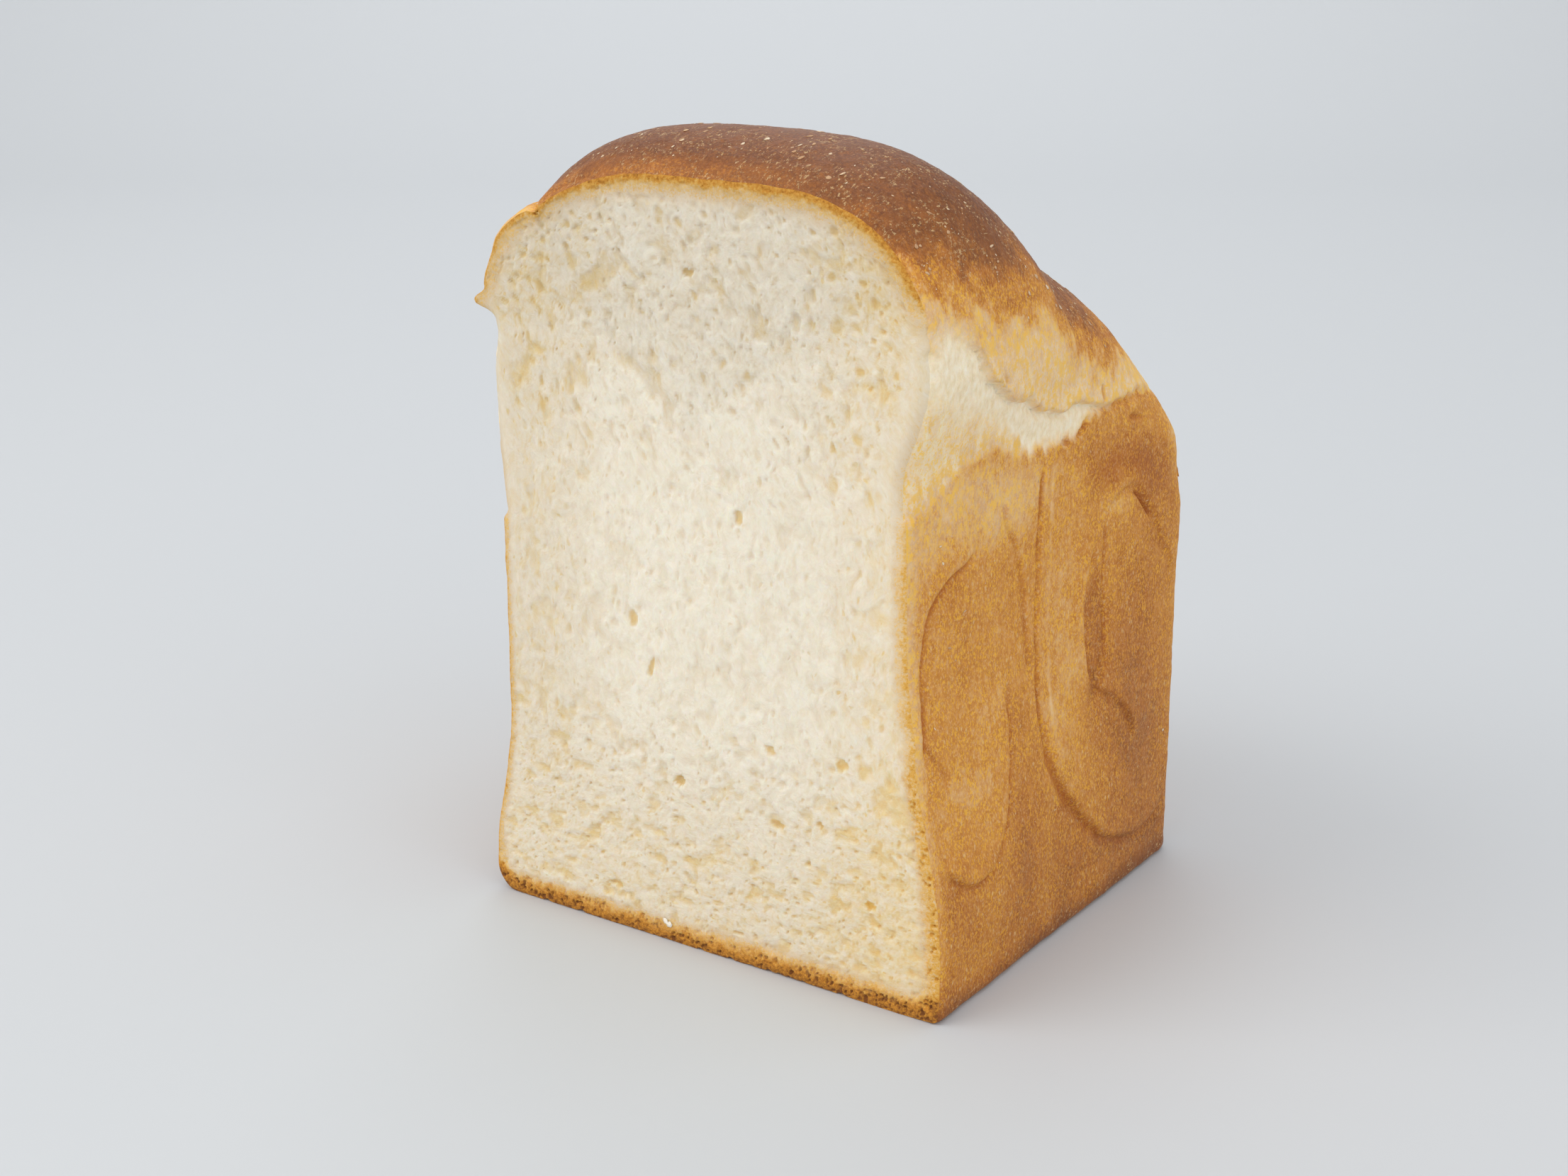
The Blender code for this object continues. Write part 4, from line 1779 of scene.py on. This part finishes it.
@dataclass(frozen=True)
class Flakes:
    """Loose flakes that stick to the crust: small curled ovals, closed like a lens, in one piece."""

    domes: int = 1000
    walls: int = 150
    crumbs: int = 5
    rings: int = 3
    around: int = 9
    crumb_place: tuple[float, float, float] = (-9.3, -0.1, 4.6)

    def sheet(self, crust: JoinedCrust) -> Sheet:
        """Scatters the flakes over the crust.

        Args:
            crust: the joined crust.

        Returns:
            The sheet.
        """
        pick = np.random.default_rng(17)
        height, y = crust.points[:, 2], crust.points[:, 1]
        dome = np.flatnonzero((height > 118.0) & (crust.surface.bake > 0.55) & (y > 3.0))
        wall = np.flatnonzero((height > 8.0) & (height < 112.0) & (y > 3.0))
        chosen = np.concatenate([pick.choice(dome, self.domes), pick.choice(wall, self.walls + self.crumbs)])
        count = len(chosen)
        size = 0.20 + 0.65 * pick.random(count) ** 4.0
        size[self.domes :] *= 0.7
        size[-self.crumbs :] = np.linspace(0.5, 1.1, self.crumbs)
        normal = crust.normals[chosen]
        origin = crust.points[chosen]
        normal[-self.crumbs :] = [0.0, -1.0, 0.0]
        origin[-self.crumbs :] = self.crumb_place + pick.normal(size=(self.crumbs, 3)) * [0.8, 0.1, 0.35]
        points = origin[:, None, None, :] + self._lenses(pick, size, normal)

        rows = points.shape[1] - 2
        shade = 0.9 * pick.random(count)
        shade[-self.crumbs :] = 1.2
        shades = np.concatenate([np.repeat(shade, rows * self.around), np.repeat(shade, 2)])
        places = np.concatenate([points[:, 1:-1].reshape(-1, 3), points[:, [0, -1], 0].reshape(-1, 3)])
        return Sheet("flakes", places, self._faces(count, rows), None, {"shade": shades})

    def _lenses(self, pick: np.random.Generator, size: Array, normal: Array) -> Array:
        """Every flake's points from its own middle.

        A flake is a lens in the plane of the crust: two faces, each a set of rings, that meet at the rim.
        The rim's radius is wavy, the whole is longer along the loaf, and it bulges by a sixth of its width.

        Args:
            pick: the random numbers.
            size: each flake's half length.
            normal: the crust's normal under each flake.

        Returns:
            The points by flake, row and place in the row. The first and last rows are the poles.
        """
        count = len(size)
        along = np.cross(normal, np.cross([0.25, 1.0, -0.2] + 0.5 * pick.normal(size=(count, 3)), normal))
        along /= np.linalg.norm(along, axis=1, keepdims=True)
        beside = np.cross(normal, along)
        ring = np.linspace(0.0, 1.0, self.rings + 1)[1:]
        radius = np.concatenate([[0.0], ring, ring[-2::-1], [0.0]])
        bulge = np.cos(ring * np.pi / 2.0)
        above = np.concatenate([[1.0], bulge, -bulge[-2::-1], [-1.0]])
        angle = np.arange(self.around) / self.around * 2.0 * np.pi
        lobes = 1.0 + 0.16 * np.sin(2.0 * angle + pick.random((count, 1)) * 6.3)
        lobes = lobes + 0.12 * np.sin(3.0 * angle + pick.random((count, 1)) * 6.3)
        reach = radius[None, :, None] * lobes[:, None, :] * size[:, None, None]
        narrow = (0.35 + 0.5 * pick.random(count))[:, None, None]
        first = reach * np.cos(angle)
        second = reach * np.sin(angle) * narrow
        lift = 0.16 * size[:, None, None] * (above[None, :, None] + 0.3) + 0.10 * first**2
        shares = ((first, along), (second, beside), (lift, normal))
        return sum(share[..., None] * axis[:, None, None, :] for share, axis in shares)

    def _faces(self, count: int, rows: int) -> Array:
        """Every flake's triangles: bands between its rings, and fans around its two poles.

        Args:
            count: how many flakes.
            rows: how many rings each has.

        Returns:
            Three point numbers for each triangle.
        """
        numbers = np.arange(count * rows * self.around).reshape(count, rows, self.around)
        wrapped = np.concatenate([numbers, numbers[..., :1]], axis=2)
        quads = grid_faces(wrapped)
        pole = np.broadcast_to((numbers.size + 2 * np.arange(count))[:, None], (count, self.around))
        top = np.stack([pole, wrapped[:, 0, :-1], wrapped[:, 0, 1:]], axis=-1)
        bottom = np.stack([pole + 1, wrapped[:, -1, 1:], wrapped[:, -1, :-1]], axis=-1)
        halves = [quads[:, [0, 1, 2]], quads[:, [0, 2, 3]]]
        return np.concatenate([*halves, top.reshape(-1, 3), bottom.reshape(-1, 3)])


@dataclass
class HalfLoaf:
    """The whole half loaf: five crust sheets on one lattice, and the crumb between their front edges."""

    form: LoafForm
    lattice: Lattice = Lattice()
    crust_finish: CrustFinish = CrustFinish()
    crumb_finish: CrumbFinish = CrumbFinish()
    flake_finish: FlakeFinish = FlakeFinish()

    def build(self) -> list[bpy.types.Object]:
        """Builds every sheet.

        Returns:
            The pieces.
        """
        crust = self._join_crust()
        crumb = self._crumb_sheet(crust)
        length = self.form.length
        crust_material = self.crust_finish.make()
        pieces = [sheet.make(crust_material, length, "crust") for sheet in self._crust_sheets(crust)]
        pieces.append(Flakes().sheet(crust).make(self.flake_finish.make(), length, "crust"))
        pieces.append(crumb.make(self.crumb_finish.make(), length, "crumb"))
        return pieces

    def _join_crust(self) -> JoinedCrust:
        """Joins the five crust sides at their edges and adds the relief.

        Joined, they give normals that run on from one sheet to the next, so that no seam shows.

        Returns:
            The joined crust.
        """
        sides = [Side.RIGHT, Side.LEFT, Side.END, Side.CROWN, Side.FOOT]
        grids = {side: self.lattice.keys(side) for side in sides}
        all_keys = np.concatenate([grids[side].ravel() for side in sides])
        keys, first, numbers = np.unique(all_keys, return_index=True, return_inverse=True)
        every = [self.form.points(side, *self.lattice.shares(side)).reshape(-1, 3) for side in sides]
        points = np.concatenate(every)[first]
        start = 0
        number_grids = {}
        for side in sides:
            size = grids[side].size
            number_grids[side] = numbers[start : start + size].reshape(grids[side].shape)
            start += size
        faces = {side: grid_faces(number_grids[side]) for side in sides}
        all_faces = np.concatenate([faces[side] for side in sides])

        normals = point_normals(points, all_faces)
        at_cut = points[:, 1] < 1e-6
        normals[at_cut, 1] = 0.0
        normals /= np.maximum(np.linalg.norm(normals, axis=1, keepdims=True), 1e-9)
        surface = CrustRelief(self.form).surface(points)
        softened = np.clip(1.0 - points[:, 1] / 6.0, 0.0, 1.0) ** 2 * mix(1.2, 0.25, surface.crustiness)
        points = points + normals * surface.height[:, None]
        points[:, 1] += softened
        points[:, 2] = np.maximum(points[:, 2], 0.0)
        return JoinedCrust(keys, points, point_normals(points, all_faces), surface, number_grids)

    @staticmethod
    def _crust_sheets(crust: JoinedCrust) -> list[Sheet]:
        """Takes the joined crust apart into one sheet for each side.

        Args:
            crust: the joined crust.

        Returns:
            The sheets.
        """
        sheets = []
        for side, grid in crust.grids.items():
            used, local = np.unique(grid, return_inverse=True)
            fields = {name: getattr(crust.surface, name)[used] for name in ("bake", "torn", "crease_shade_and_tint")}
            faces = grid_faces(local.reshape(grid.shape))
            sheets.append(Sheet(side.value, crust.points[used], faces, crust.normals[used], fields))
        return sheets

    def _crumb_sheet(self, crust: JoinedCrust) -> Sheet:
        """Fills the cut with crumb whose outline is the crust's own edge.

        Args:
            crust: the joined crust.

        Returns:
            The sheet.
        """
        keys = self.lattice.keys(Side.CUT)
        shape = keys.shape
        plain = self.form.points(Side.CUT, *self.lattice.shares(Side.CUT))
        outline = np.zeros(shape, bool)
        outline[[0, -1], :] = True
        outline[:, [0, -1]] = True
        on_crust = np.searchsorted(crust.keys, keys[outline])
        places = crust.points[on_crust]
        whole = 1.0 - crust.surface.torn[on_crust]
        known = np.column_stack([places - plain[outline], crust.surface.crustiness[on_crust], whole])
        across = plain[..., [0, 2]]
        distance, carried = self._nearest(across.reshape(-1, 2), across[outline], known)
        distance = distance.reshape(shape)
        carried = carried.reshape(*shape, 5)
        crusty = carried[..., 3]
        points = plain + carried[..., :3] * np.exp(-distance / 6.0)[..., None]
        points[outline] = places
        points[..., 1], fields = self._crumb_surface(points, distance, crusty, carried[..., 4])
        points[outline] = places
        flat = points.reshape(-1, 3)
        faces = grid_faces(np.arange(keys.size).reshape(shape))
        normals = point_normals(flat, faces)
        edge = np.flatnonzero(outline.ravel())
        torn = (1.0 - crusty.ravel()[edge])[:, None]
        join_normals(((normals, edge), (crust.normals, on_crust)), torn)
        return Sheet(Side.CUT.value, flat, faces, normals, fields)

    def _crumb_surface(
        self, points: Array, distance: Array, crusty: Array, whole: Array
    ) -> tuple[Array, dict[str, Array]]:
        """Works out how deep the crumb's points lie behind the cut, and what its finish reads.

        Args:
            points: the points in the plain cut.
            distance: how far each is from the outline.
            crusty: 1 where the nearest crust is whole and golden, 0 where it is torn or pale.
            whole: 1 where the nearest crust isn't torn.

        Returns:
            The depth, and the fields, one entry for each point.
        """
        x, z = points[..., 0], points[..., 2]
        has_crust = smooth_step(crusty, 0.0, 0.6)
        thickness, toast = self._cut_crust(x, z)
        thickness = thickness * crusty
        wander = distance + 0.24 * Chance(101).smooth([x, z], 2.4, 2) * thickness
        wander = np.maximum(wander + 0.35 * Chance(102).smooth([x, z], 0.8), 0.0)
        rind = smooth_step(wander, thickness * 1.4, thickness * 0.4) * smooth_step(crusty, 0.05, 0.5)
        ends = smooth_step(z, 16.0, 6.0) + smooth_step(z, 128.0, 144.0)
        reach = thickness + mix(4.5, 2.8 + 3.6 * ends, has_crust)
        fringe = smooth_step(wander, reach, thickness * 0.5) * mix(0.7, 1.0, has_crust) * whole
        pulled = 0.85 * (1.0 - crusty) * smooth_step(distance, 13.0, 1.0)
        relief = CrumbRelief()
        depth, pore_shade = relief.surface(x, z, np.maximum(np.maximum(rind, 0.5 * fringe), pulled))
        weave_x, weave_z = relief.weave(x, z)

        thick = smooth_step(thickness, 1.6, 3.2)
        pits = smooth_step(Chance(103).spots(x / 1.25, z / 0.95, 0.0, 0.66), 0.0, 0.6) * thick
        pitted = rind * (0.60 * pits + 0.2 * Chance(104).smooth([x, z], 0.9, 2))
        # the cut crust is browner in its pits: painted shade in their hollows
        toast = toast * smooth_step(wander, thickness * mix(1.3, 1.9, thick), 0.0) + 0.38 * rind * pits
        depth = np.maximum(depth + pitted, -0.25) * smooth_step(distance, 0.0, 1.2)
        depth += 1.2 * np.clip(1.0 - distance / 4.0, 0.0, 1.0) ** 2 * (1.0 - crusty)
        depth += 0.25 * np.clip(1.0 - distance / 1.2, 0.0, 1.0) ** 2 * crusty
        tone, painted_shade = self._crumb_tone_and_shade(x, z, crusty)
        deep = smooth_step(distance, 0.2, 4.0)
        names = ("pore_shade", "rind", "fringe", "toast", "tone", "painted_shade", "deep")
        values = (pore_shade, rind, fringe, toast, tone, painted_shade, deep)
        fields = {name: value.ravel() for name, value in zip(names, values)}
        fields["weave"] = np.stack([weave_x, np.zeros(x.shape), weave_z], axis=-1).reshape(-1, 3) * MM
        return depth, fields

    @staticmethod
    def _crumb_tone_and_shade(x: Array, z: Array, crusty: Array) -> tuple[Array, Array]:
        """How much warmer the crumb is at the foot and the sides, and how much painted shade darkens it,
        most at the top.

        Args:
            x: the points' X.
            z: the points' Z.
            crusty: 1 where the nearest crust is whole and golden.

        Returns:
            How warm, and how much painted shade.
        """
        at_left = smooth_step(x, -15.0, -50.0) * smooth_step(z, 15.0, 60.0)
        at_right = smooth_step(x, 20.0, 50.0)
        warm = 0.08 * smooth_step(z, 105.0, 160.0) + mix(0.24, 0.08, at_right) * smooth_step(z, 60.0, 10.0)
        warm = warm + 0.24 * at_left + 0.33 * at_right * mix(0.8, 1.0, crusty)
        # painted shade at the top, where less light falls on the crumb
        high = 0.12 * smooth_step(z, 95.0, 145.0) * mix(0.4, 1.0, crusty)
        return warm, mix(0.06, 0.02, at_right) + 0.05 * at_left + high

    @staticmethod
    def _nearest(points: Array, edge: Array, known: Array) -> tuple[Array, Array]:
        """Carries what is known on the edge inwards, each edge point counting less the further it is.

        Args:
            points: the points, as X and Z.
            edge: the edge's points, as X and Z.
            known: a row of numbers for each edge point.

        Returns:
            The distance to the nearest edge point, and the carried rows.
        """
        distance = np.empty(len(points))
        carried = np.empty((len(points), known.shape[1]))
        for start in range(0, len(points), 8000):
            block = points[start : start + 8000]
            apart = np.sqrt(((block[:, None, :] - edge[None, :, :]) ** 2).sum(axis=2))
            nearest = apart.min(axis=1)
            weight = np.exp(-(apart - nearest[:, None]) / 0.4)
            distance[start : start + 8000] = nearest
            carried[start : start + 8000] = weight @ known / weight.sum(axis=1, keepdims=True)
        return distance, carried

    def _cut_crust(self, x: Array, z: Array) -> tuple[Array, Array]:
        """How thick the cut crust is, and how brown.

        It is thickest at the foot, thin on the walls, and thicker again over the domes, most of all at their
        right shoulder.

        Returns:
            Thickness in millimetres, and brownness from 0 to 1.
        """
        right = smooth_step(x, -5.0, 5.0)
        over_dome = smooth_step(z, mix(137.0, 146.0, right), mix(143.0, 152.0, right))
        at_foot = smooth_step(z, 8.0, 4.0)
        strip = smooth_step(x, -38.0, -42.0) * smooth_step(z, 137.0, 140.0)
        thickness = mix(mix(1.0, 3.6, right), mix(2.3, 2.9, strip), over_dome)
        thickness = mix(thickness, 4.7, at_foot)
        toast = mix(mix(0.46, 0.34, right), mix(0.62, 0.46, strip), over_dome)
        toast = mix(toast, 0.84, at_foot)
        return thickness, toast


# ---- Stage ----


@dataclass(frozen=True)
class Stage:
    """A pale floor that runs up into a backdrop, soft light from the front left, and the camera."""

    camera_place: tuple[float, float, float] = (0.2683, -0.4172, 0.2287)
    azimuth: float = 34.36
    looking_down: float = 17.84
    lens: float = 25.0
    sensor: float = 17.3
    floor_half_width: float = 4.0
    floor_front: float = -3.0
    bend_start: float = 1.2
    bend: float = 0.9  # radius with which the floor runs up
    backdrop_top: float = 4.0

    def build(self) -> None:
        """Makes the floor, the lights and the camera."""
        self._floor()
        self._world()
        warm, cool, cooler = (1.0, 0.985, 0.96), (0.97, 0.985, 1.0), (0.95, 0.97, 1.0)
        self._light("key", (-0.75, -0.95, 1.15), size=1.1, power=9.0, tint=warm)
        self._light("fill", (1.2, -0.6, 0.9), size=1.4, power=3.8, tint=cooler)
        self._light("top", (0.0, 0.35, 1.5), size=1.3, power=3.5, tint=cool)
        backdrop = (-0.85, 1.25, 1.3)
        self._light("backdrop", backdrop, size=1.2, power=5.5, tint=cool, towards=(-0.85, 1.25, 0.0))
        self._camera()

    def _floor(self) -> None:
        """A flat floor, with a quarter round up to the wall behind."""
        turn = np.linspace(0.0, np.pi / 2.0, 17)
        bend = [self.bend_start + self.bend * np.sin(turn), self.bend - self.bend * np.cos(turn)]
        front = [[self.floor_front, 0.0]]
        top = [[self.bend_start + self.bend, self.backdrop_top]]
        profile = np.vstack([front, np.stack(bend, 1), top])
        across = np.array([-self.floor_half_width, self.floor_half_width])
        depth, side = np.meshgrid(profile[:, 0], across, indexing="ij")
        height = np.repeat(profile[:, 1:2], 2, axis=1)
        away = np.radians(self.azimuth)
        x = side * np.cos(away) - depth * np.sin(away)
        y = side * np.sin(away) + depth * np.cos(away)
        points = np.stack([x, y, height], axis=-1).reshape(-1, 3)
        numbers = np.arange(len(points)).reshape(depth.shape).T
        mesh = bpy.data.meshes.new("floor")
        mesh.from_pydata(points.tolist(), [], grid_faces(numbers).tolist())
        mesh.shade_smooth()
        shader = Shader("floor_paper")
        shader.finish(Base_Color=colour(201, 203, 205), Roughness=0.7)
        mesh.materials.append(shader.material)
        floor = bpy.data.objects.new("floor", mesh)
        bpy.context.scene.collection.objects.link(floor)

    def _world(self) -> None:
        """An even pale surround."""
        world = bpy.data.worlds.new("surround")
        world.use_nodes = True
        background = world.node_tree.nodes["Background"]
        background.inputs["Color"].default_value = (0.96, 0.98, 1.0, 1.0)
        background.inputs["Strength"].default_value = 0.82
        bpy.context.scene.world = world

    def _light(
        self,
        name: str,
        place: tuple[float, float, float],
        size: float,
        power: float,
        tint: tuple[float, float, float],
        towards: tuple[float, float, float] = (0.0, 0.0, 0.08),
    ) -> None:
        """A square soft light that faces the loaf, or another place.

        Args:
            name: its name.
            place: where it stands.
            size: the side of its square.
            power: its watts.
            tint: its colour.
            towards: what it faces.
        """
        light = bpy.data.lights.new(name, "AREA")
        light.shape = "SQUARE"
        light.size = size
        light.energy = power
        light.color = tint
        lamp = bpy.data.objects.new(name, light)
        lamp.location = place
        aim = Vector(towards) - Vector(place)
        lamp.rotation_euler = aim.to_track_quat("-Z", "Y").to_euler()
        bpy.context.scene.collection.objects.link(lamp)

    def _camera(self) -> None:
        """The camera, in front and to the right, looking down a little."""
        data = bpy.data.cameras.new("camera")
        data.lens = self.lens
        data.sensor_width = self.sensor
        camera = bpy.data.objects.new("camera", data)
        camera.location = self.camera_place
        turn, down = np.radians(self.azimuth), np.radians(self.looking_down)
        forward = Vector((-np.sin(turn) * np.cos(down), np.cos(turn) * np.cos(down), -np.sin(down)))
        camera.rotation_euler = forward.to_track_quat("-Z", "Y").to_euler()
        bpy.context.scene.collection.objects.link(camera)
        bpy.context.scene.camera = camera
        bpy.context.scene.view_settings.view_transform = "Standard"


def main() -> None:
    """Loads the frame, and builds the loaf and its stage."""
    logging.basicConfig(level=logging.INFO, format="%(name)s: %(message)s")
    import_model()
    form = LoafForm.from_box(*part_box("loaf"))
    HalfLoaf(form).build()
    Stage().build()


if __name__ == "__main__":
    main()
